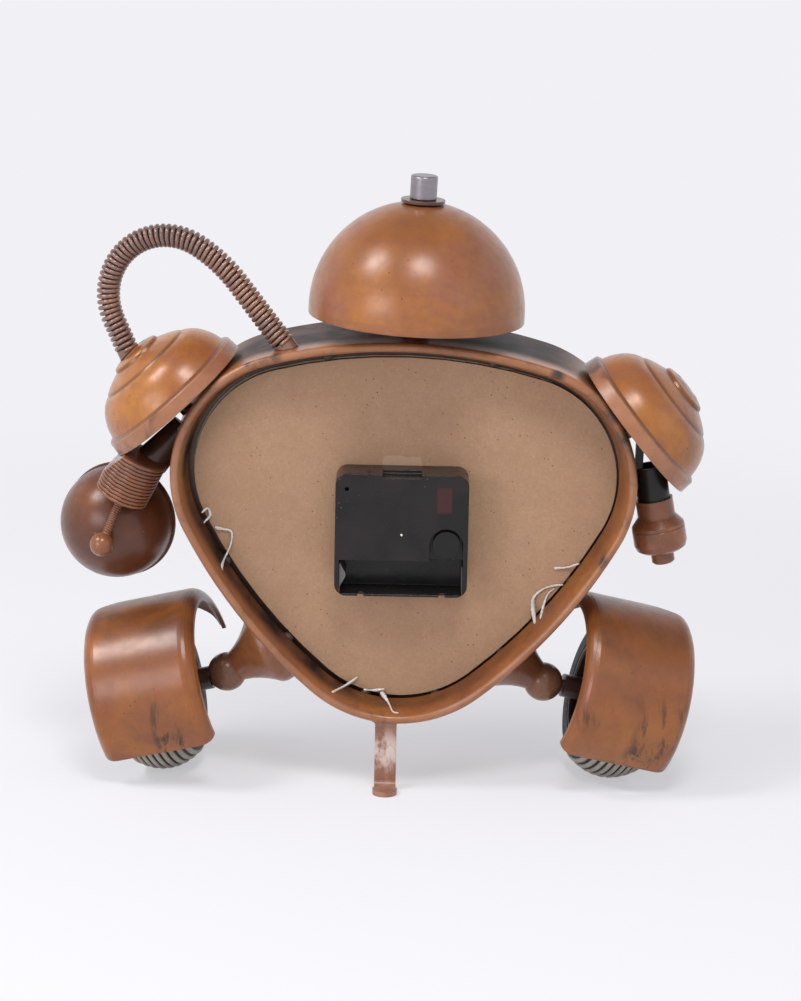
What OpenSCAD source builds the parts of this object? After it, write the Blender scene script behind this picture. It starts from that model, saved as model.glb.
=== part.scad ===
// Robot clock: a rounded triangular steel body with a dial behind glass in front and an open back,
// a bell-shaped head, stepped shoulder domes, two arms, two fendered wheels and a prop at the back.
// Millimetres, +Z up, the dial faces -Y. The floor is at Z = 0 and the head's stud stands at Y = 0.

/* [Body shell] */
// Height of the dial axis above the floor
axis_z = 114; // [108:0.5:124]
// Sideways place of the dial axis from the middle of the whole object
axis_x = -9.85; // [-20:0.05:0]
// Sideways lean of the body, with its +X side up
lean = 1.14; // [0:0.02:2]
// Depth of the body from rim crest to rim crest
body_depth = 57; // [48:1:62]
// Place of the rear rim's crest in depth
rear_y = 25; // [23:0.5:27]
// Sideways distance of each upper corner's centre from the dial axis
corner_x = 45; // [40:0.5:50]
// Height of the upper corner centres above the dial axis
corner_z = 22.7; // [18:0.1:28]
// Radius of the upper corners
corner_r = 53; // [48:0.5:58]
// Radius of the long side curves
side_r = 233; // [220:1:250]
// Angle above the horizontal at which the top curve meets an upper corner
top_meet = 74.4; // [73:0.1:76]
// Angle below the horizontal at which an upper corner meets a side curve
side_meet = 28.3; // [27:0.1:30]
// Angle below the horizontal at which a side curve meets the bottom corner
low_meet = 50.2; // [49:0.1:52]
// Thickness of the shell's sheet steel
shell_wall = 1.4; // [1:0.1:1.8]
// Outer radius of the rolled lip at the rear rim
rear_lip_r = 1.8; // [1.7:0.1:2.2]
// Outer radius of the rolled lip at the front rim
front_lip_r = 3; // [2.4:0.1:4]
// Straight width of the steep flange inside the rear lip
rear_flange = 14.4; // [10:0.1:14.6]
// Straight width of the sloping flange inside the front lip
front_flange = 9; // [7:0.1:12]
// Slope of the rear flange from the plane of the rim
rear_slope = 76; // [70:1:80]
// Slope of the front flange from the plane of the rim
front_slope = 35; // [25:1:45]

/* [Dial and glass] */
// Depth from the rear rim's crest to the back board
board_recess = 17.5; // [16.5:0.1:20]
// Thickness of the back board
board_t = 3; // [2:0.1:4]
// Inset of the back board's edge from the shell's outside
board_inset = 8.6; // [8:0.1:9]
// Sideways place of the back board in the shell
board_shift = -0.8; // [-1:0.1:1]
// Height of the back board's middle from the shell's middle
board_lift = -0.8; // [-1:0.1:1]
// Thickness of the dial sheet
dial_t = 0.6; // [0.4:0.1:1]
// Inset of the dial sheet's edge from the shell's outside
dial_inset = 9; // [8:0.1:10]
// Thickness of the ledge that the dial rests against
ledge_t = 1.2; // [0.8:0.1:2]
// Inset of the ledge's inner edge from the shell's outside
ledge_inset = 13; // [11:0.1:16]
// Thickness of the front glass
glass_t = 2; // [1.5:0.1:3]
// Inset of the glass's edge from the shell's outside
glass_inset = 6; // [4:0.1:8]
// Thickness of the ring that holds the glass from behind
glass_ring_t = 1; // [0.8:0.1:2]
// Radius of each glue pad beside the back board
glue_r = 2.6; // [2.2:0.1:2.6]

/* [Head] */
// Radius of the bell-shaped head
head_r = 45.5; // [42:0.5:48]
// Height of the straight skirt below the head's dome
head_skirt = 3; // [2:0.1:6]
// Gap between the body's top and the head's rim
head_gap = 7; // [5:0.1:9]
// Sideways place of the head from the dial axis
head_x = -2.5; // [-4:0.1:4]
// Sideways lean of the head on the body
head_lean = 1; // [0:0.1:2]
// Thickness of the head's sheet
head_wall = 1.5; // [1.2:0.1:2]
// Radius of the stud through the head
head_stud_r = 3; // [2.5:0.1:3.5]
// Radius of the spacer tube under the head
spacer_r = 6; // [5:0.1:8]
// Radius of the steel finial
finial_r = 5.65; // [5:0.05:7]
// Height of the steel finial
finial_h = 10; // [8:0.1:14]
// Radius of the washer under the finial
washer_r = 9.25; // [8:0.05:11]
// Thickness of the washer under the finial
washer_t = 1.2; // [1:0.1:2]

/* [Shoulders] */
// Tilt of the left shoulder's axis above the horizontal
left_tilt = 46.4; // [42:0.1:50]
// Tilt of the right shoulder's axis above the horizontal
right_tilt = 40.4; // [38:0.1:45]
// Distance of the left dome's axis from the corner's own axis
left_drop = 19.6; // [16:0.1:21]
// Distance of the right dome's axis from the corner's own axis
right_drop = 16.8; // [14:0.1:18]
// Gap between the body's corner and the left dome's rim plane
left_gap = 1.2; // [0.4:0.1:1.5]
// Gap between the body's corner and the right dome's rim plane
right_gap = 0.4; // [0.3:0.1:1.5]
// Radius of the shoulder domes at the rim
shoulder_r = 34.2; // [32:0.1:36]
// Radius of the main dome above its rim band
shoulder_dome_r = 30.2; // [28.5:0.1:31.5]
// Height of the straight rim band
shoulder_band = 6.2; // [4:0.1:8]
// Height of the whole shoulder dome
shoulder_h = 29.3; // [28:0.1:32]
// Radius of the second step
shoulder_step_r = 20.2; // [18:0.1:22]
// Radius of the cap
shoulder_cap_r = 10.6; // [9:0.1:12]
// Thickness of the shoulder domes' sheet
shoulder_wall = 1.4; // [1.2:0.1:1.6]

/* [Hose] */
// Outer radius of the wire-wound hose
hose_r = 4.8; // [4.4:0.1:5.2]
// Radius of the hose's wire
hose_wire_r = 0.7; // [0.6:0.05:0.75]
// Number of turns of wire
hose_turns = 60; // [46:1:61]
// Radius of the flexible core inside the wire
hose_core_r = 2.5; // [2:0.1:2.6]
// Radius of the hose's tight bend
hose_bend = 26.3; // [25:0.1:28]
// Radius of the hose's wide bend
hose_wide_bend = 64.4; // [55:0.1:75]
// Straight length of the hose above the shoulder
hose_rise = 12.8; // [10:0.1:16]
// Length of the collar below the hose on the shoulder
collar_t = 1.3; // [1.2:0.1:3]
// Distance of the hose's foot from the middle of the shoulder's cap
hose_foot = 2.2; // [0:0.1:4]
// Turn of the hose's plane about the vertical
hose_turn = 14; // [8:1:18]

/* [Left arm] */
// Radius of the round bowl that is the left hand
bowl_r = 24.3; // [22:0.1:26]
// Width of the bowl's rim band
bowl_band = 5; // [3:0.1:7]
// Thickness of the bowl's sheet
bowl_wall = 1.4; // [1.2:0.1:2]
// Radius of the ribbed cone at its wide end
cone_wide_r = 13; // [12:0.1:13.5]
// Radius of the ribbed cone at its narrow end
cone_narrow_r = 6.6; // [6:0.1:8]
// Number of ribs on the cone
cone_ribs = 13; // [9:1:14]
// Radius of the thin threaded rod
arm_rod_r = 2; // [1.6:0.1:2.2]
// Radius of the small ball on the threaded rod
arm_ball_r = 5; // [4:0.1:5.5]

/* [Right arm] */
// Radius of the black sleeve
sleeve_r = 7; // [6:0.1:7.1]
// Radius of the barrel's upper part
barrel_r = 8; // [7.8:0.1:9]
// Radius of the barrel's drum
drum_r = 11.35; // [10.6:0.05:12]
// Radius of the barrel's tip
tip_r = 4.9; // [4:0.1:5.5]
// Thickness of the flat bar that carries the right arm
bar_t = 3; // [2:0.1:4]

/* [Legs] */
// Sideways place of the legs and prop from the dial axis
legs_x = 5; // [2:0.5:7]
// Radius of the bead in each leg
bead_r = 8.7; // [8:0.1:9.5]
// Distance along the axle from the wheel's middle to the bead
bead_reach = 28.8; // [28:0.1:31]
// Radius of each leg's flared foot on the body
flare_r = 17; // [13:0.5:18]
// Radius of the axle
axle_r = 2.5; // [2:0.1:3]
// Radius of the collar between bead and wheel
collar_r = 5; // [4:0.1:6]

/* [Wheels] */
// Sideways place of each wheel's middle from the legs' middle
wheel_x = 96.5; // [94:0.5:99]
// Place of the wheels' middle in depth
wheel_y = -5; // [-9:0.5:-1]
// Outward lean of the wheels
camber = 14.5; // [10:0.5:18]
// Inward turn of the left wheel's front
left_toe = 8; // [4:0.5:12]
// Inward turn of the right wheel's front
right_toe = 12; // [6:0.5:14]
// Radius of the tyre over its middle rib
tyre_r = 35.6; // [33:0.1:36]
// Number of ribs round the tyre
tyre_ribs = 9; // [7:1:9]
// Distance between the tyre's ribs
rib_pitch = 2.95; // [2.8:0.05:3]
// Radius of each rib
rib_r = 1.3; // [1:0.05:1.35]
// Drop of the outermost ribs below the middle one
tyre_crown = 4; // [2:0.1:5]
// Radius of the hub under the tyre
hub_r = 24; // [22:0.1:25]

/* [Fenders] */
// Outer radius of the fenders
fender_r = 39.6; // [39.2:0.1:41]
// Width of the fenders
fender_w = 49.5; // [48:0.5:52]
// Radius of the fenders' rounded edges
fender_edge = 6; // [4.5:0.1:8]
// Thickness of the fenders' sheet
fender_t = 1.8; // [1.4:0.1:2.2]
// Height of the right fender above its place round the tyre
right_lift = 2.5; // [0:0.1:2.8]
// Angle from the top round the rear to the left fender's lower edge
left_rear = 120; // [105:1:125]
// Angle from the top round the rear to the right fender's lower edge
right_rear = 127; // [110:1:128]
// Angle from the top forward to the left fender's tip
left_tip = 68; // [50:1:80]
// Angle from the top forward to the right fender's tip
right_tip = 62; // [50:1:80]
// Turn of the slanting cut across the fenders' front
fender_cut = 40; // [30:1:45]

/* [Prop] */
// Width of the prop's strip
prop_w = 9.2; // [7:0.1:10]
// Thickness of the prop's strip
prop_t = 2.2; // [1.8:0.1:3]
// Place of the prop's strip in depth
prop_y = 21; // [19:0.1:22]
// Radius of the fillets where the strip meets the body
prop_ear = 1.6; // [1:0.1:3]
// Length of the prop's flat tongue
prop_tongue = 8.5; // [6:0.1:12]
// Width of the prop's rounded tongue
prop_tongue_w = 10.6; // [9.4:0.1:12]

/* [Movement] */
// Width of the movement's case
case_w = 56; // [56:0.1:58]
// Height of the movement's case above the hand axis
case_up = 26; // [26:0.1:28]
// Height of the movement's case below the hand axis
case_down = 27; // [27:0.1:28]
// Depth of the movement's case
case_d = 16.7; // [16.7:0.1:17.2]
// Corner radius of the case
case_corner = 5; // [3:0.1:6]
// Thickness of the rubber gasket in front of the case
gasket_t = 0.8; // [0.5:0.1:1]
// Running clearance of every arbor in its hole
fit = 0.05; // [0.03:0.01:0.08]
// Radius of the setting knob
knob_r = 5.9; // [5:0.1:6]
// Radius of the threaded bushing
bushing_r = 4; // [3.8:0.1:4.5]
// Outer radius of the pipe that carries the hour hand
pipe_r = 2.55; // [2.5:0.05:2.7]
// Radius of the arbor that carries the minute hand
minute_r = 1.75; // [1.6:0.05:1.8]
// Radius of the small arbors
pivot_r = 0.5; // [0.45:0.05:0.6]
// Thickness of the wheels in the movement
gear_t = 0.7; // [0.6:0.05:0.75]

/* [Hands] */
// Length of the hour hand
hour_len = 34; // [26:0.5:40]
// Length of the minute hand
minute_len = 50; // [42:0.5:56]
// Thickness of both hands
hand_t = 0.6; // [0.4:0.1:0.7]
// Hour shown
show_hour = 10; // [0:1:11]
// Minute shown
show_minute = 10; // [0:1:59]

/* [Hidden] */
touch = 0.05;
seat = 0.3;
arc_fn = 180;
plain_fn = 96;
small_fn = 40;

// The outline of the body is six arcs that meet without a corner: one over the top, two at the upper
// corners, two down the sides and one at the bottom. Each is [centre x, centre z, radius, first angle,
// sweep].
corner = [corner_x, corner_z];
top_r = corner_r + corner_x / cos(top_meet);
top_c = [0, corner_z - (top_r - corner_r) * sin(top_meet)];
side_c = corner - (side_r - corner_r) * [cos(side_meet), -sin(side_meet)];
bottom_reach = -side_c[0] / cos(low_meet);
bottom_r = side_r - bottom_reach;
bottom_drop = bottom_reach * sin(low_meet) - side_c[1];
ARCS = [
    [0, top_c[1], top_r, top_meet, 180 - 2 * top_meet],
    [corner_x, corner_z, corner_r, -side_meet, top_meet + side_meet],
    [-corner_x, corner_z, corner_r, 180 - top_meet, top_meet + side_meet],
    [side_c[0], side_c[1], side_r, -low_meet, low_meet - side_meet],
    [-side_c[0], side_c[1], side_r, 180 + side_meet, low_meet - side_meet],
    [0, -bottom_drop, bottom_r, 180 + low_meet, 180 - 2 * low_meet]];
OUTLINE_ORDER = [3, 1, 0, 2, 4, 5];
front_y = rear_y - body_depth;
body_top = top_c[1] + top_r;

function polar(r, a) = [r * cos(a), r * sin(a)];
function mix(a, b, t) = a + (b - a) * t;
function unit(v) = v / norm(v);

// Points of the body's outline, moved inwards, as one closed line of [x, z] about the dial axis
function outline(inset) = [for (i = OUTLINE_ORDER)
    let (a = ARCS[i], n = max(3, ceil(a[4] / 4)))
    for (k = [0:n - 1]) [a[0], a[1]] + polar(a[2] - inset, a[3] + a[4] * k / n)];

// Moves into the frame of the dial axis
module at_axis() {
    translate([axis_x, 0, axis_z]) children();
}

// Moves into the frame of the body, which leans sideways about the dial axis
module on_body() {
    at_axis() rotate([0, -lean, 0]) children();
}

// A place about the dial axis, as the leaning body sees it
function to_body(v) = [v[0] * cos(lean) + v[2] * sin(lean), v[1], v[2] * cos(lean) - v[0] * sin(lean)];

// The value for one side: the left one for 1, the right one for -1
function pick(side, left, right) = side > 0 ? left : right;

// A flat shape in x and z, made thick from y0 to y1
module slab(y0, y1) {
    translate([0, y1, 0]) rotate([90, 0, 0]) linear_extrude(height = y1 - y0) children();
}

// A round rod along Y
module rod(r, y0, y1, fn = plain_fn) {
    translate([0, y1, 0]) rotate([90, 0, 0]) cylinder(r = r, h = y1 - y0, $fn = fn);
}

// A cylinder or cone from point a to point b
module strut(a, b, ra, rb, fn = plain_fn) {
    d = b - a;
    translate(a) rotate([0, acos(d[2] / norm(d)), atan2(d[1], d[0])])
        cylinder(r1 = ra, r2 = rb, h = norm(d), $fn = fn);
}

// Turns children that are built along Z so that they point from a along d
module facing(a, d) {
    translate(a) rotate([0, acos(d[2] / norm(d)), atan2(d[1], d[0])]) children();
}

// Moves by a length in three steps, whole, thousandths and the rest, so that shapes whose faces are
// to meet still meet exactly where each step is rounded to six digits
module step_to(v) {
    whole = [for (x = v) round(x)];
    fine = [for (x = v - whole) round(1000 * x) / 1000];
    translate(whole) translate(fine) translate(v - whole - fine) children();
}

// Carries a profile of [inset, y] points round the whole outline of the body
module round_body(profile) {
    for (a = ARCS) {
        step_to([a[0], 0, a[1]]) rotate([90, 0, 0])
            rotate_extrude(angle = a[4], start = a[3], $fn = a[2] > 100 ? 3 * arc_fn : arc_fn)
            step_to([a[2], 0]) polygon([for (p = profile) [-p[0], -p[1]]]);
    }
}

// A rolled lip and its flange, as [inset, distance from the crest's plane], outside first
function lip_side(crest_r, r, flange, slope) =
    let (steps = ceil((90 + slope) / 15), last = [crest_r, crest_r] + r * [sin(slope), -cos(slope)])
    concat([for (k = [0:steps]) let (a = (90 + slope) * k / steps)
        [crest_r - r * cos(a), crest_r - r * sin(a)]], [last + flange * [cos(slope), sin(slope)]]);
function reversed(v) = [for (i = [len(v) - 1:-1:0]) v[i]];

module body_shell() {
    rear = lip_side(rear_lip_r, rear_lip_r, rear_flange, rear_slope);
    rear_in = lip_side(rear_lip_r, rear_lip_r - shell_wall, rear_flange, rear_slope);
    front = lip_side(front_lip_r, front_lip_r, front_flange, front_slope);
    front_in = lip_side(front_lip_r, front_lip_r - shell_wall, front_flange, front_slope);
    color("#a5683f") on_body() round_body(concat(
        [for (p = rear) [p[0], rear_y - p[1]]], [for (p = reversed(rear_in)) [p[0], rear_y - p[1]]],
        [for (p = front_in) [p[0], front_y + p[1]]], [for (p = reversed(front)) [p[0], front_y + p[1]]]));
}

board_y = rear_y - board_recess;
dial_back_y = board_y - board_t;
ledge_y = dial_back_y - dial_t;
bushing_hole_r = bushing_r + 0.5;

// A flat ring inside the shell, as wide as its two insets say
module ring_plate(y0, y1, inset0, inset1) {
    slab(y0, y1) difference() {
        polygon(outline(inset0));
        polygon(outline(inset1));
    }
}

module dial_ledge() {
    color("#8a5a3a") on_body()
        ring_plate(ledge_y - ledge_t, ledge_y, shell_wall + 2 * touch, ledge_inset);
}

// The glass rests behind the inner edge of the front flange
glass_y = front_y + front_lip_r - (front_lip_r - shell_wall) * cos(front_slope)
    + front_flange * sin(front_slope) + 2 * touch;

module glass_pane() {
    color("#bcd3d6", 0.35) on_body() slab(glass_y, glass_y + glass_t) polygon(outline(glass_inset));
}

module glass_ring() {
    y0 = glass_y + glass_t + touch;
    color("#5a4030") on_body()
        ring_plate(y0, y0 + glass_ring_t, shell_wall + 2 * touch, glass_inset + 3);
}

module dial_plate() {
    color("#e8dcc0") on_body() difference() {
        slab(ledge_y, dial_back_y) polygon(outline(dial_inset));
        rod(bushing_hole_r, ledge_y - 1, dial_back_y + 1);
    }
}

module back_board() {
    color("#b89676") on_body() difference() {
        slab(dial_back_y, board_y) translate([board_shift, board_lift]) polygon(outline(board_inset));
        rod(bushing_hole_r, dial_back_y - 1, board_y + 1);
    }
}

// Pads of glue between the board's edge and the shell, at shares of each arc of the outline
GLUE_AT = [[3, 0.25], [3, 0.75], [4, 0.3], [4, 0.8], [5, 0.25], [5, 0.7], [0, 0.2], [0, 0.8]];

module glue_pads() {
    color("#e6e2d8") on_body() for (g = GLUE_AT) {
        a = ARCS[g[0]];
        p = [a[0] + board_shift, a[1] + board_lift]
            + polar(a[2] - board_inset + glue_r + 2 * touch, a[3] + a[4] * g[1]);
        translate([p[0], ledge_y + glue_r + touch, p[1]]) sphere(r = glue_r, $fn = small_fn);
    }
}

// The prop is a strip down from the rim that turns back into a flat tongue on the floor
prop_bend = 3.2;
prop_top = axis_z - bottom_drop - bottom_r + 2;

module prop_profile() {
    ri = prop_bend - prop_t / 2;
    ro = prop_bend + prop_t / 2;
    cy = prop_y + prop_bend;
    cz = ro;
    tip = cy + prop_tongue;
    polygon(concat([[prop_y + prop_t / 2, prop_top], [prop_y - prop_t / 2, prop_top]],
        [for (a = [180:15:270]) [cy, cz] + polar(ro, a)],
        [[tip, 0], [tip, prop_t]],
        [for (a = [270:-15:180]) [cy, cz] + polar(ri, a)]));
}

module prop_stand() {
    tip = prop_y + prop_bend + prop_tongue;
    bar = prop_tongue_w / 2;
    color("#7d5638") difference() {
        translate([axis_x + legs_x, 0, 0]) {
            intersection() {
                rotate([90, 0, 90]) translate([0, 0, -bar]) linear_extrude(height = 2 * bar) prop_profile();
                union() {
                    translate([-prop_w / 2, 0, -1]) cube([prop_w, tip - bar, prop_top + 2]);
                    translate([0, tip - bar, -1]) cylinder(r = bar, h = prop_bend + prop_t, $fn = plain_fn);
                }
            }
            for (s = [0, 1]) mirror([s, 0, 0]) translate([prop_w / 2 - touch, 0, prop_top - 1.7 - prop_ear])
                slab(prop_y - prop_t / 2, prop_y + prop_t / 2) polygon(concat([[-touch, 0]],
                    [for (a = [180:-15:90]) [prop_ear, 0] + polar(prop_ear, a)],
                    [[prop_ear, prop_ear + 1.6], [-touch, prop_ear + 1.6]]));
        }
        on_body() translate([0, 0, -bottom_drop]) rod(bottom_r + touch, 0, rear_y + 9, 4 * arc_fn);
    }
}

// The head is a bell on a stud, with a washer and a steel finial on top. Heights are above the body's top.
head_mid_z = head_gap + head_skirt;
head_top_z = head_mid_z + head_r;
stud_top_z = head_top_z + finial_h / 2;

module on_head() {
    on_body() translate([head_x, 0, body_top]) rotate([0, -head_lean, 0]) children();
}

module head_dome() {
    color("#ac6c44") on_head() difference() {
        translate([0, 0, head_mid_z]) sphere(r = head_r, $fn = arc_fn);
        translate([0, 0, head_mid_z]) sphere(r = head_r - head_wall, $fn = arc_fn);
        translate([0, 0, head_mid_z - head_r]) cube([3 * head_r, 3 * head_r, 2 * head_r], center = true);
        cylinder(r = head_stud_r + touch, h = head_top_z + 1, $fn = plain_fn);
    }
    color("#ac6c44") on_head() translate([0, 0, head_gap]) difference() {
        cylinder(r = head_r, h = head_skirt, $fn = arc_fn);
        translate([0, 0, -1]) cylinder(r = head_r - head_wall, h = head_skirt + 2, $fn = arc_fn);
    }
}

// The foot of the stud and its spacer follow the body's top
module head_stud() {
    foot = 2;
    color("#8f8a84") difference() {
        on_head() {
            translate([0, 0, -foot]) cylinder(r = head_stud_r, h = stud_top_z + foot, $fn = plain_fn);
            translate([0, 0, -foot])
                cylinder(r = spacer_r, h = head_top_z - head_wall - 0.5 + foot, $fn = plain_fn);
        }
        on_body() translate([0, 0, top_c[1]]) rod(top_r + touch, -3 * spacer_r, 3 * spacer_r, 8 * arc_fn);
    }
}

finial_z = head_top_z + washer_t + touch;

module finial() {
    edge = 0.8;
    color("#a7a29c") on_head() difference() {
        translate([0, 0, finial_z]) rotate_extrude($fn = plain_fn)
            polygon(concat([[0, 0], [finial_r - 0.4, 0], [finial_r, 0.4]],
                [for (a = [0:15:90]) [finial_r - edge, finial_h - edge] + polar(edge, a)], [[0, finial_h]]));
        cylinder(r = head_stud_r + touch, h = stud_top_z + 2 * touch, $fn = plain_fn);
    }
}

module finial_washer() {
    color("#7c5540") on_head() translate([0, 0, head_top_z]) difference() {
        cylinder(r = washer_r, h = washer_t, $fn = plain_fn);
        translate([0, 0, -1]) cylinder(r = head_stud_r + touch, h = washer_t + 2, $fn = plain_fn);
    }
}

// A shoulder dome stands on the body's corner with its rim plane just clear of the corner's curve.
// Both sides are worked out as if they were on the left.
function shoulder_tilt(side) = pick(side, left_tilt, right_tilt);
function shoulder_drop(side) = pick(side, left_drop, right_drop);
function shoulder_out(side) = corner_r + pick(side, left_gap, right_gap);
function shoulder_dir(side) = let (a = shoulder_tilt(side)) [cos(a), 0, sin(a)];
function shoulder_down(side) = let (a = shoulder_tilt(side)) [sin(a), 0, -cos(a)];
function shoulder_at(side) = [corner_x, 0, corner_z] + shoulder_out(side) * shoulder_dir(side)
    + shoulder_drop(side) * shoulder_down(side);

// Line of the dome as [radius, height], from the rim over two ledges to the cap, drawn in by a wall
function dome_arc(r0, h0, r1, h1, bulge, n) = [for (k = [0:n])
    let (t = k / n, m = mix([r0, h0], [r1, h1], t), d = unit([h1 - h0, r0 - r1]))
    m + d * bulge * 4 * t * (1 - t)];
function dome_line(in) =
    let (band_in = shoulder_band - in * 0.6, low = shoulder_dome_r - in, mid = shoulder_step_r - in * 0.8,
        cap = shoulder_cap_r - in * 0.6, top = shoulder_h - in)
    concat([[shoulder_r - in, 0], [shoulder_r - 0.3 - in, band_in]],
        dome_arc(low, band_in + 0.8, mid + 0.8, top - 9.3, 3, 14),
        dome_arc(mid, top - 8.3, cap + 0.6, top - 3.3, 1.1, 7),
        dome_arc(cap, top - 2.1, 0, top, 0.6, 6));

module shoulder() {
    rotate_extrude($fn = arc_fn)
        polygon(concat(dome_line(0), reversed(dome_line(shoulder_wall))));
}

module on_shoulder(side) {
    on_body() mirror([side < 0 ? 1 : 0, 0, 0]) facing(shoulder_at(side), shoulder_dir(side)) children();
}

// The room that the left shoulder dome takes up, filled in as far as its rim plane and a little wider
module left_dome_room(grow) {
    on_shoulder(1) rotate_extrude($fn = arc_fn)
        polygon(concat([[0, -grow], [shoulder_r + grow, -grow]],
            [for (p = dome_line(0)) if (p[0] > 1) p + [grow, grow]], [[0, shoulder_h + grow]]));
}

module left_shoulder() {
    color("#ab6d45") on_shoulder(1) shoulder();
}

module right_shoulder() {
    color("#ab6d45") on_shoulder(-1) shoulder();
}

stud_r = 3;

module shoulder_studs() {
    color("#5d5148") for (side = [1, -1]) difference() {
        reach = shoulder_drop(side) + stud_r;
        foot = shoulder_out(side) - sqrt(corner_r * corner_r - reach * reach) + 1;
        on_shoulder(side) translate([0, 0, -foot])
            cylinder(r = stud_r, h = foot + shoulder_h - shoulder_wall - 0.5, $fn = plain_fn);
        on_body() translate([side * corner_x, 0, corner_z])
            rod(corner_r + touch, -2 * stud_r, 2 * stud_r, 4 * arc_fn);
    }
}

// The hose leaves the left shoulder's cap, bends over and comes down on the body's upper corner.
// Its middle line lies in one upright plane: a straight, a tight bend, a wide bend and a straight.
hose_first_a = 63.5;
hose_turn_a = 208.3;
hose_last_a = 229.3;
hose_up = shoulder_at(1) + (shoulder_h + 0.4) * shoulder_dir(1) + hose_foot * shoulder_down(1) + [0, -3, 0];
tight_len = hose_bend * (hose_turn_a - hose_first_a) * PI / 180;
wide_len = hose_wide_bend * (hose_last_a - hose_turn_a) * PI / 180;

function bend_step(r, h0, h1) = r * [sin(h1) - sin(h0), cos(h0) - cos(h1)];
hose_p1 = hose_rise * [cos(hose_first_a), sin(hose_first_a)];
hose_p2 = hose_p1 + bend_step(hose_bend, hose_first_a, hose_turn_a);
hose_p3 = hose_p2 + bend_step(hose_wide_bend, hose_turn_a, hose_last_a);

// The last straight ends just above the top curve, where a short collar carries it
hose_land_x = corner_x + 7;
hose_land_z = top_c[1] + sqrt(top_r * top_r - hose_land_x * hose_land_x) + 0.46 * hose_r;
hose_last_len = (hose_p3[1] + hose_up[2] + collar_t * sin(hose_first_a) - hose_land_z) / -sin(hose_last_a);
hose_len = hose_rise + tight_len + wide_len + hose_last_len;

// Place in the plane and heading at a length s along the hose
function hose_flat(s) =
    s <= hose_rise ? concat(s * [cos(hose_first_a), sin(hose_first_a)], [hose_first_a])
    : s <= hose_rise + tight_len ?
        let (h = hose_first_a + (s - hose_rise) / hose_bend * 180 / PI)
        concat(hose_p1 + bend_step(hose_bend, hose_first_a, h), [h])
    : s <= hose_rise + tight_len + wide_len ?
        let (h = hose_turn_a + (s - hose_rise - tight_len) / hose_wide_bend * 180 / PI)
        concat(hose_p2 + bend_step(hose_wide_bend, hose_turn_a, h), [h])
    : concat(hose_p3 + (s - hose_rise - tight_len - wide_len) * [cos(hose_last_a), sin(hose_last_a)],
        [hose_last_a]);

hose_out = [cos(hose_turn), -sin(hose_turn), 0];
hose_normal = [sin(hose_turn), cos(hose_turn), 0];
hose_base = hose_up + collar_t * (cos(hose_first_a) * hose_out + [0, 0, sin(hose_first_a)]);
function hose_point(s) = let (f = hose_flat(s)) hose_base + f[0] * hose_out + [0, 0, f[1]];
function hose_dir(s) = let (h = hose_flat(s)[2]) cos(h) * hose_out + [0, 0, sin(h)];

// A tube through rings of points, closed at both ends
module tube(rings) {
    n = len(rings);
    m = len(rings[0]);
    points = [for (r = rings) for (p = r) p];
    sides = [for (i = [0:n - 2]) for (j = [0:m - 1])
        let (a = i * m + j, b = i * m + (j + 1) % m) for (t = [[a, b + m, b], [a, a + m, b + m]]) t];
    caps = concat([for (j = [1:m - 2]) [0, j, j + 1]],
        [for (j = [1:m - 2]) [(n - 1) * m, (n - 1) * m + j + 1, (n - 1) * m + j]]);
    polyhedron(points = points, faces = concat(sides, caps), convexity = 10);
}

function ring_at(p, d, n, r, sides) = let (b = cross(d, n))
    [for (j = [0:sides - 1]) p + r * cos(360 * j / sides) * n + r * sin(360 * j / sides) * b];

hose_end_gap = 0.15;

module hose_core() {
    steps = 34;
    color("#3c2c22") on_body() tube([for (k = [0:steps])
        let (s = mix(hose_end_gap, hose_len - hose_end_gap, k / steps))
        ring_at(hose_point(s), hose_dir(s), hose_normal, hose_core_r, 8)]);
}

coil_r = hose_r - hose_wire_r;
rings_per_turn = 8;
wire_from = hose_end_gap + hose_wire_r;
wire_len = hose_len - 2 * wire_from;
function wire_point(t) =
    let (s = wire_from + t * wire_len, a = 360 * hose_turns * t, d = hose_dir(s), b = cross(d, hose_normal))
    hose_point(s) + coil_r * (cos(a) * hose_normal + sin(a) * b);
function wire_dir(t) = unit(wire_point(t + 0.0005) - wire_point(t - 0.0005));
function wire_out(t) = let (s = wire_from + t * wire_len) unit(wire_point(t) - hose_point(s));

module hose_wire() {
    count = hose_turns * rings_per_turn;
    color("#7b5334") on_body() tube([for (k = [0:count])
        let (t = k / count, d = wire_dir(t), o = wire_out(t), n = unit(o - (o * d) * d))
        ring_at(wire_point(t), d, n, hose_wire_r, 6)]);
}

// Least gap between one turn of wire and the next, measured on points along the wire
wire_steps = hose_turns * 16;
turn_gaps = [for (k = [0:wire_steps - 17]) for (m = [12:20]) if (k + m <= wire_steps)
    norm(wire_point(k / wire_steps) - wire_point((k + m) / wire_steps)) - 2 * hose_wire_r];
echo("least gap between turns of the hose wire", min(turn_gaps));  // hose_wire

module hose_collars() {
    end = hose_point(hose_len);
    foot = 8;
    color("#4a382c") {
        difference() {
            on_body() facing(hose_base, -hose_dir(0)) cylinder(r = hose_r - 0.3, h = foot, $fn = plain_fn);
            left_dome_room(touch);
        }
        difference() {
            on_body() facing(end, hose_dir(hose_len)) cylinder(r = hose_r - 0.3, h = foot, $fn = plain_fn);
            on_body() {
                translate([corner_x, 0, corner_z]) rod(corner_r + touch, front_y, rear_y, 4 * arc_fn);
                translate([0, 0, top_c[1]]) rod(top_r + touch, front_y, rear_y, 8 * arc_fn);
            }
        }
    }
}

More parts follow.
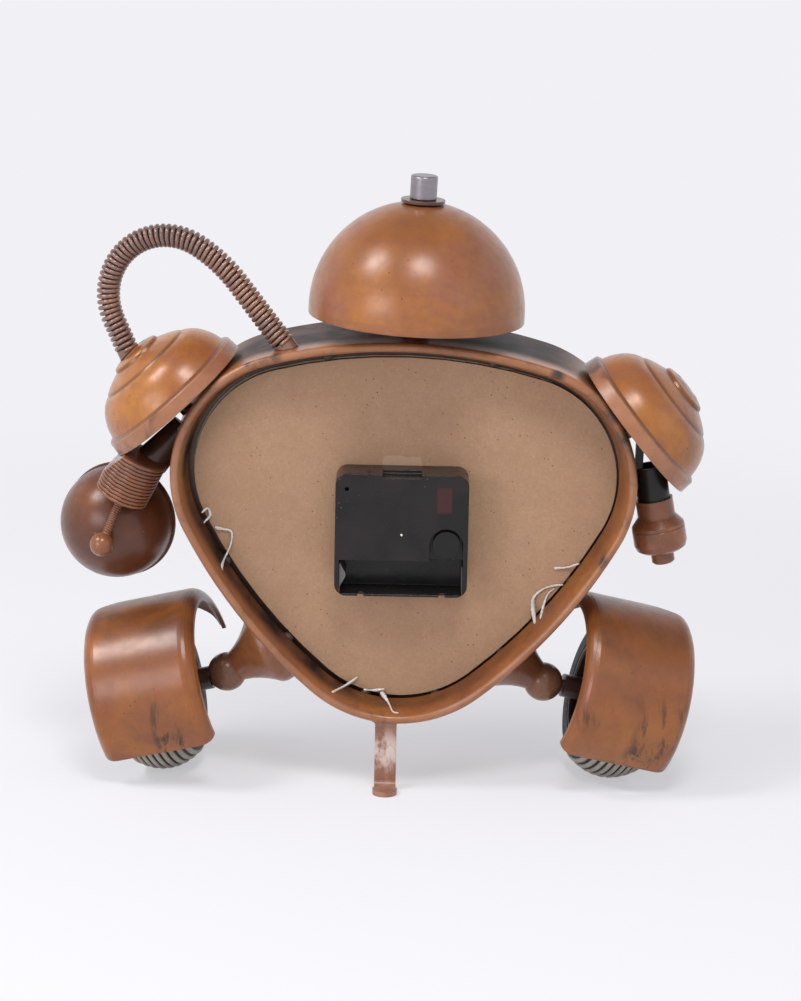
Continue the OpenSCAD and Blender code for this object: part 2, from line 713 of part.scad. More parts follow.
// The left arm: a tapered upper arm from the body's side, a ribbed cone towards the back, a threaded
// rod with a small ball, and a round bowl whose open side faces the front
arm_root = [93.5, 2, 38];
cone_top = [114.3, 4, 19];
cone_end = [115.9, 15, 4.6];
cone_dir = unit(cone_end - cone_top);
rod_start = [119.5, 15, 2];
rod_ball = [126.4, 18.5, -11];
bowl_at = [122.6, -12, -8.6];
bowl_dir = unit([-0.3, -1, 0]);
arm_end = cone_top + [-4, 1, 0];
arm_end_r = 8;

module left_upper_arm() {
    color("#3d2c22") difference() {
        on_body() strut(arm_root, arm_end, 5.6, arm_end_r);
        on_body() translate([corner_x, 0, corner_z]) rod(corner_r + touch, front_y, rear_y, 4 * arc_fn);
        on_body() facing(cone_top - touch * cone_dir, cone_dir)
            cylinder(r = 3 * cone_wide_r, h = 3 * cone_wide_r, $fn = plain_fn);
        left_dome_room(2 * touch);
    }
}

module left_ribbed_cone() {
    len = norm(cone_end - cone_top);
    groove = 0.5;
    color("#8d5c3b") difference() {
        on_body() facing(cone_top, cone_dir) rotate_extrude($fn = plain_fn)
            polygon(concat([[0, 0]],
                [for (k = [0:cone_ribs - 1]) for (e = [[0.08, groove], [0.3, 0], [0.7, 0], [0.92, groove]])
                    let (t = (k + e[0]) / cone_ribs)
                    [mix(cone_wide_r, cone_narrow_r, pow(t, 1.5)) - e[1], t * len]],
                [[0, len]]));
        left_dome_room(touch);
        on_body() translate(bowl_at) sphere(r = bowl_r + touch, $fn = arc_fn);
    }
}

module left_threaded_rod() {
    d = unit(rod_ball - rod_start);
    len = norm(rod_ball - rod_start);
    threads = 9;
    color("#9a633c") on_body() {
        difference() {
            facing(rod_start - 3.2 * d, d) rotate_extrude($fn = small_fn)
                polygon(concat([[0, 0]],
                    [for (k = [0:threads + 2]) for (e = [[0, 0.3], [0.3, 0], [0.6, 0], [0.9, 0.3]])
                        [arm_rod_r - e[1], (k + e[0]) * (len + 3) / (threads + 3)]],
                    [[0, len + 3]]));
            facing(cone_top, cone_dir) cylinder(r = cone_wide_r + 5,
                h = norm(cone_end - cone_top) + touch, $fn = plain_fn);
        }
        translate(rod_ball) sphere(r = arm_ball_r, $fn = plain_fn);
    }
}

module left_bowl() {
    rim = 0.8;
    color("#a0653f") on_body() facing(bowl_at, bowl_dir) {
        difference() {
            sphere(r = bowl_r, $fn = arc_fn);
            sphere(r = bowl_r - bowl_wall, $fn = arc_fn);
            cylinder(r = bowl_r + 1, h = bowl_r + 1, $fn = arc_fn);
        }
        difference() {
            union() {
                cylinder(r = bowl_r, h = bowl_band, $fn = arc_fn);
                translate([0, 0, bowl_band - rim]) cylinder(r = bowl_r + rim, h = rim, $fn = arc_fn);
            }
            translate([0, 0, -1]) cylinder(r = bowl_r - bowl_wall, h = bowl_band + 2, $fn = arc_fn);
        }
    }
}

// The right arm: a flat bar from the body's side, a black sleeve, and a barrel with a drum and a tip
barrel_low = [-112.6, 3, -13.2];
barrel_up = [-104.2, 3, 27];
barrel_dir = unit(barrel_up - barrel_low);
barrel_len = 28.5;
bar_x = -corner_x - corner_r - bar_t / 2 - touch;

module right_arm_bar() {
    color("#1f1c1b") on_body() translate([bar_x - bar_t / 2, -1, corner_z - 3]) cube([bar_t, 8, 21]);
}

module right_sleeve() {
    sleeve_low = 22;
    sleeve_h = 21;
    color("#23201f") on_body() difference() {
        facing(barrel_low + sleeve_low * barrel_dir, barrel_dir) difference() {
            cylinder(r = sleeve_r, h = sleeve_h, $fn = plain_fn);
            translate([0, 0, sleeve_h - 3.5]) cylinder(r = sleeve_r - 1.2, h = sleeve_h, $fn = plain_fn);
        }
        translate([bar_x - bar_t / 2 - touch, -1 - touch, corner_z - 3 - touch])
            cube([bar_t + 2 * touch + 40, 8 + 2 * touch, 60]);
    }
}

module right_barrel() {
    color("#a1663f") on_body() facing(barrel_low, barrel_dir) difference() {
        rotate_extrude($fn = arc_fn) polygon([[0, 0], [tip_r - 0.7, 0], [tip_r, 0.7], [tip_r, 4.4],
            [tip_r + 0.8, 5], [drum_r - 2.6, 5.6], [drum_r - 0.8, 6.8], [drum_r, 9], [drum_r, 15.4],
            [drum_r - 0.25, 15.7], [drum_r, 16], [drum_r - 0.2, 17.2], [barrel_r + 0.3, 20.6],
            [barrel_r, 21.4], [barrel_r, barrel_len], [0, barrel_len]]);
        translate([0, 0, 21.9]) cylinder(r = sleeve_r + 0.1, h = 20, $fn = plain_fn);
    }
}

// Wheels: the frame of the left wheel has X along the axle, away from the body
tyre_mid = 3.5;
function rib_at(i) = tyre_mid + (i - (tyre_ribs - 1) / 2) * rib_pitch;
function rib_ring(i) = tyre_r - rib_r - tyre_crown * pow((2 * i / (tyre_ribs - 1)) - 1, 2);
wheel_z = max([for (i = [0:tyre_ribs - 1]) rib_at(i) * sin(camber) + rib_ring(i) * cos(camber)]) + rib_r;
function toe(side) = pick(side, left_toe, right_toe);
function axle_dir(side) = [cos(camber) * cos(toe(side)), -cos(camber) * sin(toe(side)), -sin(camber)];

module on_wheel(side) {
    translate([axis_x + legs_x, 0, 0]) mirror([side < 0 ? 1 : 0, 0, 0])
        translate([wheel_x, wheel_y, wheel_z]) rotate([0, 0, -toe(side)]) rotate([0, camber, 0]) children();
}

// Turns a profile of [radius, distance along the axle] about the axle
module on_axle(profile, fn = arc_fn) {
    rotate([0, 90, 0]) rotate_extrude($fn = fn) polygon(profile);
}

rib_end = rib_at(tyre_ribs - 1) + rib_r + 0.4;
rib_start = rib_at(0) - rib_r - 0.4;

module tyre() {
    base = [for (i = [0:tyre_ribs - 1]) [rib_ring(i) + 0.2, rib_at(i)]];
    on_axle(concat([[hub_r + touch, rib_start], [rib_ring(0) - 1.2, rib_start]], base,
        [[rib_ring(0) - 1.2, rib_end], [hub_r + touch, rib_end]]));
    rotate([0, 90, 0]) for (i = [0:tyre_ribs - 1])
        rotate_extrude($fn = arc_fn) translate([rib_ring(i), rib_at(i)]) circle(r = rib_r, $fn = 24);
}

hub_in = tyre_mid - 14;
hub_out = tyre_mid + 13;

module hub() {
    boss = 7;
    wall = 1.8;
    on_axle([[axle_r + fit, hub_in], [boss - 1, hub_in], [boss, hub_in + 1], [boss + 0.6, hub_in + 3],
        [hub_r - 6, tyre_mid - 3], [hub_r - wall, tyre_mid - 2], [hub_r - wall, rib_start + 1],
        [hub_r - wall + 0.6, rib_start + 0.2], [hub_r, rib_start + 0.2], [hub_r, rib_end - 0.2],
        [hub_r - wall, rib_end - 0.2], [hub_r - wall, tyre_mid + 1.5], [boss + 2, tyre_mid + 1.5],
        [boss - 0.5, tyre_mid + 4], [boss - 0.5, hub_out], [axle_r + fit, hub_out]]);
}

module left_tyre() {
    color("#6b6864") on_wheel(1) tyre();
}

module right_tyre() {
    color("#6b6864") on_wheel(-1) tyre();
}

module left_hub() {
    color("#3a2d26") on_wheel(1) hub();
}

module right_hub() {
    color("#3a2d26") on_wheel(-1) hub();
}

// The axle runs from inside the bead, through the hub, to a nut outside the stay
axle_depth = 4;
bead_face = sqrt(bead_r * bead_r - collar_r * collar_r);
stay_t = 1.6;
stay_in = max(hub_out, rib_end) + seat;
nut_in = stay_in + stay_t + touch;
nut_t = 3.2;
axle_end = nut_in + nut_t - 0.4;

module axle() {
    root = -bead_reach - axle_depth;
    neck = -bead_reach + bead_face + touch;
    on_axle([[0, root], [axle_r, root], [axle_r, neck], [collar_r, neck],
        [collar_r, hub_in - seat], [axle_r, hub_in - seat], [axle_r, axle_end], [0, axle_end]], plain_fn);
}

module left_axle() {
    color("#5a4334") on_wheel(1) axle();
}

module right_axle() {
    color("#5a4334") on_wheel(-1) axle();
}

// A ball with a flat where the axle's collar meets it and a blind bore for the axle
module leg_beads() {
    steps = 24;
    flat_a = asin(collar_r / bead_r);
    bore = axle_r + touch;
    ball = [for (k = [0:steps]) let (a = mix(180, flat_a, k / steps))
        [bead_r * sin(a), bead_r * cos(a) - bead_reach]];
    color("#6d4530") for (side = [1, -1]) on_wheel(side) on_axle(concat(ball,
        [[bore, bead_face - bead_reach], [bore, -bead_reach - axle_depth - touch],
        [0, -bead_reach - axle_depth - touch]]));
}

// Middle of a bead about the dial axis, and the flare that joins it to the body's side along the normal
function bead_mid(side) = let (d = axle_dir(side)) [legs_x + side * (wheel_x - bead_reach * d[0]),
    wheel_y - bead_reach * d[1], wheel_z - bead_reach * d[2] - axis_z];

module leg_flares() {
    color("#8a5a3c") on_body() for (side = [1, -1]) {
        b = to_body(bead_mid(side));
        c = [side * side_c[0], b[1], side_c[1]];
        n = unit(b - c);
        long = norm(b - c) - side_r + 2;
        difference() {
            facing(b, -n) rotate_extrude($fn = plain_fn)
                polygon(concat([[0, 0]], [for (k = [0:8]) let (t = k / 8)
                    [mix(6.6, flare_r, pow(t, 1.3)), t * long]], [[0, long]]));
            translate([c[0], 0, c[2]]) rod(side_r + touch, front_y, rear_y, 8 * arc_fn);
            translate(b) sphere(r = bead_r + touch, $fn = arc_fn);
        }
    }
}

// Fender: a bent band with rolled edges round the rear and top of the wheel, cut on a slant in front
half_w = fender_w / 2;
function edge_line(r, sign) = [for (a = [90:-15:0])
    [fender_r - fender_edge + r * sin(a), sign * (half_w - fender_edge + r * cos(a))]];

module fender(rear, tip) {
    inner = fender_edge - fender_t;
    profile = concat(reversed(edge_line(fender_edge, -1)), edge_line(fender_edge, 1),
        reversed(edge_line(inner, 1)), edge_line(inner, -1));
    cut_y = -fender_r * sin(tip);
    difference() {
        rotate([0, 90, 0]) rotate([0, 0, 180 - rear])
            rotate_extrude(angle = rear + tip, $fn = arc_fn) polygon(profile);
        translate([-half_w, cut_y, 0]) rotate([0, 0, fender_cut])
            translate([0, -60, -60]) cube([3 * fender_w, 60, 120]);
    }
}

module left_fender() {
    color("#a8673e") on_wheel(1) fender(left_rear, left_tip);
}

module right_fender() {
    color("#a8673e") on_wheel(-1) translate([0, 0, right_lift]) fender(right_rear, right_tip);
}

// A stay carries each fender from the axle's outer end
stay_a = -45;

module fender_stays() {
    reach = fender_r - fender_edge + sqrt(pow(fender_edge - fender_t, 2)
        - pow(max(0, stay_in + stay_t - half_w + fender_edge), 2)) - seat / 2;
    color("#6d4a33") for (side = [1, -1]) on_wheel(side) intersection() {
        rotate([stay_a, 0, 0]) difference() {
            union() {
                translate([stay_in, 0, 0]) rotate([0, 90, 0]) cylinder(r = 6.5, h = stay_t, $fn = plain_fn);
                translate([stay_in, -4.5, 0]) cube([stay_t, 9, fender_r + right_lift]);
            }
            rotate([0, 90, 0]) cylinder(r = axle_r + touch, h = half_w, $fn = plain_fn);
        }
        translate([0, 0, pick(side, 0, right_lift)]) rotate([0, 90, 0])
            cylinder(r = reach, h = fender_w, $fn = arc_fn);
    }
}

module axle_nuts() {
    color("#4c4039") for (side = [1, -1]) on_wheel(side) difference() {
        translate([nut_in, 0, 0]) rotate([0, 90, 0]) cylinder(r = 4.9, h = nut_t, $fn = 6);
        translate([stay_in, 0, 0]) rotate([0, 90, 0])
            cylinder(r = axle_r + touch, h = half_w, $fn = plain_fn);
    }
}

// Movement: depths in Y, from the front plate of the case to its rear face
base_y = board_y + gasket_t;
case_rear = base_y + case_d;
base_t = 1.6;
room_y = base_y + base_t;
case_wall = 1.3;
ceiling_y = case_rear - case_wall - 0.1;
bay_top = -11.4;
bay_low = -case_down + 1;
bay_x = 26.1;
room_low = bay_top + 1.2;
room_top = case_up - 2.6;
room_x = case_w / 2 - 1.4;

module case_outline() {
    x = case_w / 2 - case_corner;
    up = case_up - case_corner;
    low = case_down - case_corner;
    polygon([for (c = [[x, up, 0], [-x, up, 90], [-x, -low, 180], [x, -low, 270]])
        for (a = [0:9:90]) [c[0], c[1]] + polar(case_corner, c[2] + a)]);
}

module block(x0, x1, y0, y1, z0, z1) {
    translate([x0, y0, z0]) cube([x1 - x0, y1 - y0, z1 - z0]);
}

// Places of the arbors about the hand axis, as [x, z]
motion_pitch = 12;
knob_at = [-19, -4.2];
minute_wheel_at = knob_at / 2 + sqrt(pow(motion_pitch, 2) - pow(norm(knob_at) / 2, 2))
    * [knob_at[1], -knob_at[0]] / norm(knob_at);
third_reach = 10.2;
third_at = polar(third_reach, 130);
inter_reach = 10.5;
inter_at = polar(inter_reach, 5);
rotor_reach = 10.8;
rotor_at = inter_at + polar(rotor_reach, 50);
post_at = [[22, -6], [22.5, 11.5], [-2.5, 13]];

// Layers of the train, as distances behind the front plate
hour_y = room_y + 0.5;
hour_t = 1;
cannon_y = room_y + 1.9;
minute_wheel_y = room_y + 2.2;
plate_y = room_y + 3.4;
plate_t = 0.8;
centre_y = room_y + 4.5;
third_y = room_y + 5.9;
second_y = room_y + 7.2;
inter_y = room_y + 8.6;
stator_y = room_y + 6.2;
stator_t = 0.8;
boss_y = ceiling_y - 2.6;
arbor_end = ceiling_y - 0.9;

// Teeth: straight-flanked, thinned for play, with the first tooth at the given angle
tooth_slope = tan(20);
function tooth_points(n, m, phase) =
    let (rp = n * m / 2, half = PI * m / 4 * 0.8, ra = rp + 0.75 * m, rf = rp - 0.95 * m,
        tip = (half - (ra - rp) * tooth_slope) / ra * 180 / PI,
        root = (half + (rp - rf) * tooth_slope) / rf * 180 / PI)
    [for (i = [0:n - 1]) let (c = phase + i * 360 / n)
        for (p = [[rf, -root], [ra, -tip], [ra, tip], [rf, root]]) polar(p[0], c + p[1])];

module gear(n, m, y0, y1, phase = 0) {
    slab(y0, y1) polygon(tooth_points(n, m, phase));
}

// Angle of a tooth on the second gear that lets it mesh with the first, in direction a from it
function mesh(a, n1, phase1, n2) = a + 180 - (0.5 - (a - phase1) * n1 / 360) * 360 / n2;
function angle_of(v) = atan2(v[1], v[0]);

motion_m = 0.5;
hour_m = 0.48;
train_m = 0.3;
centre_m = 2 * third_reach / 72;
minute_phase = mesh(angle_of(minute_wheel_at), 12, 0, 36);
hour_phase = mesh(angle_of(minute_wheel_at) + 180, 10, 0, 40);
knob_phase = mesh(angle_of(knob_at - minute_wheel_at), 36, minute_phase, 12);
third_phase = mesh(angle_of(third_at), 8, 0, 60);
centre_phase = mesh(angle_of(third_at) + 180, 8, 0, 64);
second_phase = mesh(angle_of(inter_at) + 180, 10, 0, 60);
rotor_phase = mesh(angle_of(rotor_at - inter_at), 60, 0, 12);

module at_place(p) {
    at_axis() translate([p[0], 0, p[1]]) children();
}

module movement_base() {
    color("#1e1c1c") {
        at_axis() difference() {
            slab(base_y, room_y) case_outline();
            rod(bushing_r + touch, base_y - 1, room_y + 1);
            translate([knob_at[0], 0, knob_at[1]]) rod(0.6 + fit, base_y + 0.6, room_y + 1, small_fn);
        }
        for (p = post_at) at_place(p) {
            rod(1.5, room_y, plate_y, small_fn);
            rod(0.7, plate_y, plate_y + plate_t + 0.4, small_fn);
        }
        at_place(minute_wheel_at) {
            rod(1.3, room_y, room_y + 0.3, small_fn);
            rod(0.75, room_y, plate_y - 0.15, small_fn);
        }
    }
}

module knob_recess(grow, y0, y1) {
    slab(y0, y1) union() {
        translate(knob_at) circle(r = knob_r + 1.1 + grow, $fn = plain_fn);
        translate([knob_at[0] - knob_r - 1.1 - grow, bay_top])
            square([2 * (knob_r + 1.1 + grow), knob_at[1] - bay_top]);
    }
}

knob_floor = case_rear - 3.3;
hanger_w = 16.4;
arbor_places = [[0, 0], third_at, inter_at, rotor_at];
pcb_posts = [[-14, 13], [1, 20.5]];
pcb_y = ceiling_y - 2.8;
pcb_t = 0.8;

module movement_cover() {
    color("#201e1e") at_axis() difference() {
        union() {
            difference() {
                slab(room_y, case_rear) case_outline();
                block(-room_x, room_x, room_y - 1, ceiling_y, room_low, room_top);
            }
            for (p = arbor_places) translate([p[0], 0, p[1]]) rod(1.6, boss_y, ceiling_y + 0.2, small_fn);
            for (p = pcb_posts) translate([p[0], 0, p[1]]) rod(1.2, pcb_y + pcb_t, ceiling_y + 0.2, small_fn);
            intersection() {
                knob_recess(1.2, knob_floor - 1.3, ceiling_y + 0.2);
                block(-room_x - 0.2, room_x + 0.2, room_y, case_rear, bay_top, room_top);
            }
        }
        knob_recess(0, knob_floor, case_rear + 1);
        translate([knob_at[0], 0, knob_at[1]]) rod(1.5 + fit, room_y, case_rear, small_fn);
        block(-bay_x, bay_x, room_y + 0.4, case_rear + 1, bay_low, bay_top);
        block(-hanger_w / 2, hanger_w / 2, case_rear - 9, case_rear + 1, case_up - 1.6, case_up + 1);
        for (x = [16.8, -17.4])
            block(x - 1.3, x + 1.3, case_rear - 3, case_rear + 1, -case_down - 1, bay_low + 0.2);
        for (p = arbor_places) translate([p[0], 0, p[1]])
            rod(pivot_r + fit, boss_y - 1, arbor_end + 0.3, small_fn);
        rod(pivot_r + fit, boss_y - 1, case_rear + 1, small_fn);
        translate([23.2, 0, 19.4]) rod(0.9, ceiling_y - 1, case_rear + 1, small_fn);
        translate([14, case_rear - 4, case_up - 3]) cylinder(r = 0.9, h = 4, $fn = small_fn);
    }
}

module case_gasket() {
    color("#2b2a2a") at_axis() difference() {
        rod(11, board_y, base_y);
        rod(bushing_hole_r, board_y - 1, base_y + 1);
    }
}

bushing_front = ledge_y - 4.1;
washer_front = ledge_y - 0.6;
nut_front = washer_front - 2.5;

module threaded_bushing() {
    color("#c9a556") at_axis() difference() {
        union() {
            rod(bushing_r, bushing_front, room_y);
            rod(bushing_r + 1.5, room_y, room_y + 0.3);
        }
        rod(pipe_r + fit, bushing_front - 1, room_y + 1);
    }
}

module bushing_washer() {
    color("#c9a556") at_axis() difference() {
        rod(7.5, washer_front, ledge_y);
        rod(bushing_r + touch, washer_front - 1, ledge_y + 1);
    }
}

module bushing_nut() {
    color("#c9a556") at_axis() difference() {
        translate([0, washer_front, 0]) rotate([90, 0, 0]) cylinder(r = 6.9, h = 2.5, $fn = 6);
        rod(bushing_r + touch, nut_front - 1, washer_front + 1);
    }
}

module middle_plate() {
    color("#d8d6d0") at_axis() difference() {
        slab(plate_y, plate_y + plate_t)
            polygon([[-11, -7], [-9, -8.6], [23, -8.6], [25, -6.6],
                [25, 12.4], [23, 14.4], [-4, 14.8], [-11, 12]]);
        rod(1.25 + fit, plate_y - 1, plate_y + 2, small_fn);
        for (p = post_at) translate([p[0], 0, p[1]]) rod(0.75, plate_y - 1, plate_y + 2, small_fn);
        for (p = [third_at, inter_at, rotor_at]) translate([p[0], 0, p[1]])
            rod(pivot_r + fit, plate_y - 1, plate_y + 2, small_fn);
    }
}

pipe_front = bushing_front - 3;
arbor_front = pipe_front - 3.3;

module hour_wheel() {
    color("#d9c48a") at_axis() difference() {
        union() {
            gear(40, hour_m, hour_y, hour_y + hour_t, hour_phase);
            rod(pipe_r, pipe_front, hour_y);
        }
        rod(minute_r + fit, pipe_front - 1, hour_y + 2);
    }
}

module minute_arbor() {
    color("#cbb26e") at_axis() difference() {
        union() {
            rod(minute_r, arbor_front, cannon_y);
            gear(12, motion_m, cannon_y, cannon_y + 1.2);
            rod(1.25, cannon_y, centre_y + gear_t + 0.35, small_fn);
            rod(2, centre_y + gear_t + 0.1, centre_y + gear_t + 0.35, small_fn);
        }
        rod(pivot_r + fit, hour_y - 3, centre_y + 3, small_fn);
    }
}

module minute_wheel() {
    color("#e3e0d4") at_place(minute_wheel_at) difference() {
        union() {
            gear(36, motion_m, minute_wheel_y, minute_wheel_y + gear_t, minute_phase);
            gear(10, hour_m, room_y + 0.4, minute_wheel_y);
        }
        rod(0.75 + fit, room_y, plate_y, small_fn);
    }
}

module centre_wheel() {
    color("#cfb269") at_axis() difference() {
        gear(64, centre_m, centre_y, centre_y + gear_t, centre_phase);
        rod(1.25 + fit, centre_y - 1, centre_y + 2, small_fn);
    }
}

module third_wheel() {
    color("#e3e0d4") at_place(third_at) {
        gear(60, train_m, third_y, third_y + gear_t, third_phase);
        gear(8, centre_m, centre_y - 0.1, third_y);
        rod(pivot_r, plate_y + 0.1, centre_y, small_fn);
        rod(pivot_r, third_y, arbor_end, small_fn);
    }
}

module second_wheel() {
    color("#e3e0d4") at_axis() {
        gear(60, train_m, second_y, second_y + gear_t, second_phase);
        gear(8, train_m, third_y - 0.15, second_y);
        rod(pivot_r, hour_y - 2, third_y, small_fn);
        rod(pivot_r, second_y, case_rear, small_fn);
    }
}

module intermediate_wheel() {
    color("#e3e0d4") at_place(inter_at) {
        gear(60, train_m, inter_y, inter_y + gear_t);
        gear(10, train_m, second_y - 0.2, inter_y);
        rod(pivot_r, plate_y + 0.1, second_y, small_fn);
        rod(pivot_r, inter_y, arbor_end, small_fn);
    }
}

magnet_r = 2.5;

module rotor() {
    color("#8c8f94") at_place(rotor_at) {
        gear(12, train_m, inter_y - 0.2, inter_y + gear_t + 0.2, rotor_phase);
        rod(magnet_r, stator_y - 0.9, stator_y + 1.7, small_fn);
        rod(pivot_r, plate_y + 0.1, inter_y, small_fn);
        rod(pivot_r, inter_y, arbor_end, small_fn);
    }
}

// The stator is a plate round the rotor with two legs, which the coil's core bridges
leg_x = [5, 24.5];
leg_w = 3;
core_z = 19.6;
core_h = 3.2;

module stator() {
    color("#9aa0a6") at_axis() {
        difference() {
            block(leg_x[0], leg_x[1], stator_y, stator_y + stator_t, 5, 13.5);
            translate([rotor_at[0], 0, rotor_at[1]])
                rod(magnet_r + 0.6, stator_y - 1, stator_y + 2, small_fn);
        }
        block(leg_x[0], leg_x[0] + leg_w, stator_y, stator_y + stator_t, 13.5, core_z + core_h / 2);
        block(leg_x[1] - leg_w, leg_x[1], stator_y, stator_y + stator_t, 13.5, core_z + core_h / 2);
        block(leg_x[0], leg_x[1], stator_y + stator_t, stator_y + 2 * stator_t,
            core_z - core_h / 2, core_z + core_h / 2);
    }
}

module coil() {
    x0 = leg_x[0] + leg_w + 0.4;
    x1 = leg_x[1] - leg_w - 0.4;
    mid_y = stator_y + 1.5 * stator_t;
    color("#b4622d") at_axis() difference() {
        translate([0, mid_y, core_z]) rotate([0, 90, 0]) {
            translate([0, 0, x0]) cylinder(r = 3.2, h = 0.6, $fn = small_fn);
            translate([0, 0, x0]) cylinder(r = 2.8, h = x1 - x0, $fn = small_fn);
            translate([0, 0, x1 - 0.6]) cylinder(r = 3.2, h = 0.6, $fn = small_fn);
        }
        block(x0 - 1, x1 + 1, stator_y + stator_t - touch, stator_y + 2 * stator_t + touch,
            core_z - core_h / 2 - touch, core_z + core_h / 2 + touch);
    }
}

module circuit_board() {
    color("#2f5d3a") at_axis() {
        block(-16, 3, pcb_y, pcb_y + pcb_t, 11.5, 22.5);
        translate([-5, pcb_y, 17.5]) rotate([90, 0, 0]) cylinder(r = 2.6, h = 1, $fn = small_fn);
        translate([-14.5, pcb_y - 1.2, 20.2]) rotate([0, 90, 0]) cylinder(r = 1.1, h = 6.4, $fn = small_fn);
        block(-14.5, -8.1, pcb_y - 1.2, pcb_y, 19.7, 20.7);
    }
}

// The knob's arbor runs from the front plate to the knob in the rear face
module setting_knob() {
    ridges = 44;
    color("#242222") at_place(knob_at) {
        rod(0.6, base_y + 0.8, room_y + 0.3, small_fn);
        rod(1.5, room_y + 0.3, knob_floor + 0.2, small_fn);
        gear(12, motion_m, cannon_y + 0.1, cannon_y + 1.3, knob_phase);
        slab(knob_floor + 0.2, case_rear - 0.2)
            polygon([for (i = [0:2 * ridges - 1]) polar(knob_r - (i % 2) * 0.25, 180 * i / ridges)]);
    }
}

module battery_contacts() {
    t = 0.4;
    mid = (bay_low + bay_top) / 2;
    y0 = room_y + 2;
    y1 = case_rear - 3;
    color("#d2d4d6") at_axis() {
        slab(y0, y1) polygon([[bay_x - touch, mid - 5], [bay_x - touch, mid + 5],
            [bay_x - touch - t, mid + 5], [bay_x - 2.4 - t, mid + 0.6],
            [bay_x - 2.4 - t, mid - 0.6], [bay_x - touch - t, mid - 5]]);
        block(-bay_x + touch, -bay_x + touch + t, y0, y1, mid - 4.5, mid + 4.5);
    }
}

// Hands: angles are clockwise from twelve, as seen from the front
minute_angle = 6 * show_minute;
hour_angle = 30 * show_hour + show_minute / 2;

module hand(len, width, hole, collar, hub, angle, y0, hub_t) {
    at_axis() difference() {
        union() {
            slab(y0, y0 + hand_t) rotate(-angle) polygon([[-width / 2, 0], [-width * 0.35, len * 0.8],
                [0, len], [width * 0.35, len * 0.8], [width / 2, 0], [width * 0.4, -len * 0.2],
                [-width * 0.4, -len * 0.2]]);
            rod(collar, y0, y0 + hand_t);
            rod(hub, y0 + hand_t / 2, y0 + hand_t + hub_t);
        }
        rod(hole, y0 - 1, y0 + 3);
    }
}

hour_hand_y = pipe_front + 0.4;
minute_hand_y = arbor_front + 1.7;

module hour_hand() {
    color("#2a2523") hand(hour_len, 5, pipe_r + 0.01, 4.6, 3.4, hour_angle, hour_hand_y, 1.2);
}

module minute_hand() {
    color("#2a2523") hand(minute_len, 4, minute_r + 0.01, 3.8, 2.6, minute_angle, minute_hand_y, 0.8);
}

module hand_nut() {
    color("#b8985a") at_axis() difference() {
        rod(2.6, minute_hand_y - 2.2, minute_hand_y - touch);
        rod(minute_r + touch, arbor_front - touch, minute_hand_y);
    }
}

body_shell();
dial_ledge();
glass_pane();
glass_ring();
dial_plate();
back_board();
glue_pads();
prop_stand();
head_dome();
head_stud();
finial();
finial_washer();
left_shoulder();
right_shoulder();
shoulder_studs();
hose_core();
hose_wire();
hose_collars();
left_upper_arm();
left_ribbed_cone();
left_threaded_rod();
left_bowl();
right_arm_bar();
right_sleeve();
right_barrel();
leg_flares();
leg_beads();
left_axle();
right_axle();
left_fender();
right_fender();
fender_stays();
axle_nuts();
left_hub();
right_hub();
left_tyre();
right_tyre();
movement_base();
movement_cover();
case_gasket();
threaded_bushing();
bushing_washer();
bushing_nut();
middle_plate();
hour_wheel();
minute_arbor();
minute_wheel();
centre_wheel();
third_wheel();
second_wheel();
intermediate_wheel();
rotor();
stator();
coil();
circuit_board();
setting_knob();
battery_contacts();
hour_hand();
minute_hand();
hand_nut();
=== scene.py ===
import math

import bmesh
import bpy
from mathutils import Matrix, Vector


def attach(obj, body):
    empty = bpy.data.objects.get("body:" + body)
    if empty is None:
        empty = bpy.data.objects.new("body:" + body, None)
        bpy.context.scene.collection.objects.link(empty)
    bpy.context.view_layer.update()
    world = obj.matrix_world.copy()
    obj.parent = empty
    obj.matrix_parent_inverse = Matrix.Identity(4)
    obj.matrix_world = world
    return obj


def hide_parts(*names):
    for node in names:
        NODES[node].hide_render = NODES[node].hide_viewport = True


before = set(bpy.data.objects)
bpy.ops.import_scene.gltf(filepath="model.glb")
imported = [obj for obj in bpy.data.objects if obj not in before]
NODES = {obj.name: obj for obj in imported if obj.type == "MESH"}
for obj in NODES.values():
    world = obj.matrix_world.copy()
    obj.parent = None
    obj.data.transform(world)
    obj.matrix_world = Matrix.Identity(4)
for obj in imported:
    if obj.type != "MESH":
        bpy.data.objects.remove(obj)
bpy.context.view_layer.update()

MM = 0.001

# Places from the part's source, in millimetres and degrees
AXIS_X = -9.85
AXIS_Z = 114.0
LEAN = 1.14
LEGS_X = 5.0
WHEEL_X = 96.5
WHEEL_Y = -5.0
WHEEL_Z = 35.89
CAMBER = 14.5
TOE = {1: 8.0, -1: 12.0}
TYRE_R = 35.6
TYRE_MID = 3.5
REAR_Y = 25.0
BOARD_Y = 7.5
DIAL_FRONT = 3.9
CORNER = (45.0, 22.7)
SHOULDER_OUT = {1: 54.2, -1: 53.4}
SHOULDER_TILT = {1: 46.4, -1: 40.4}
SHOULDER_DROP = {1: 19.6, -1: 16.8}
SHOULDER_BAND = 6.2

# The hose's route in its plane, in millimetres and degrees
HOSE_BASE = (119.209, -3.14, 69.588)
HOSE_TURN = 14.0
HOSE_RISE = 12.8
HOSE_BEND = 26.3
HOSE_WIDE_BEND = 64.4
HOSE_ANGLES = (63.5, 208.3, 229.3)
HOSE_LEN = 133.707
HOSE_R = 5.05

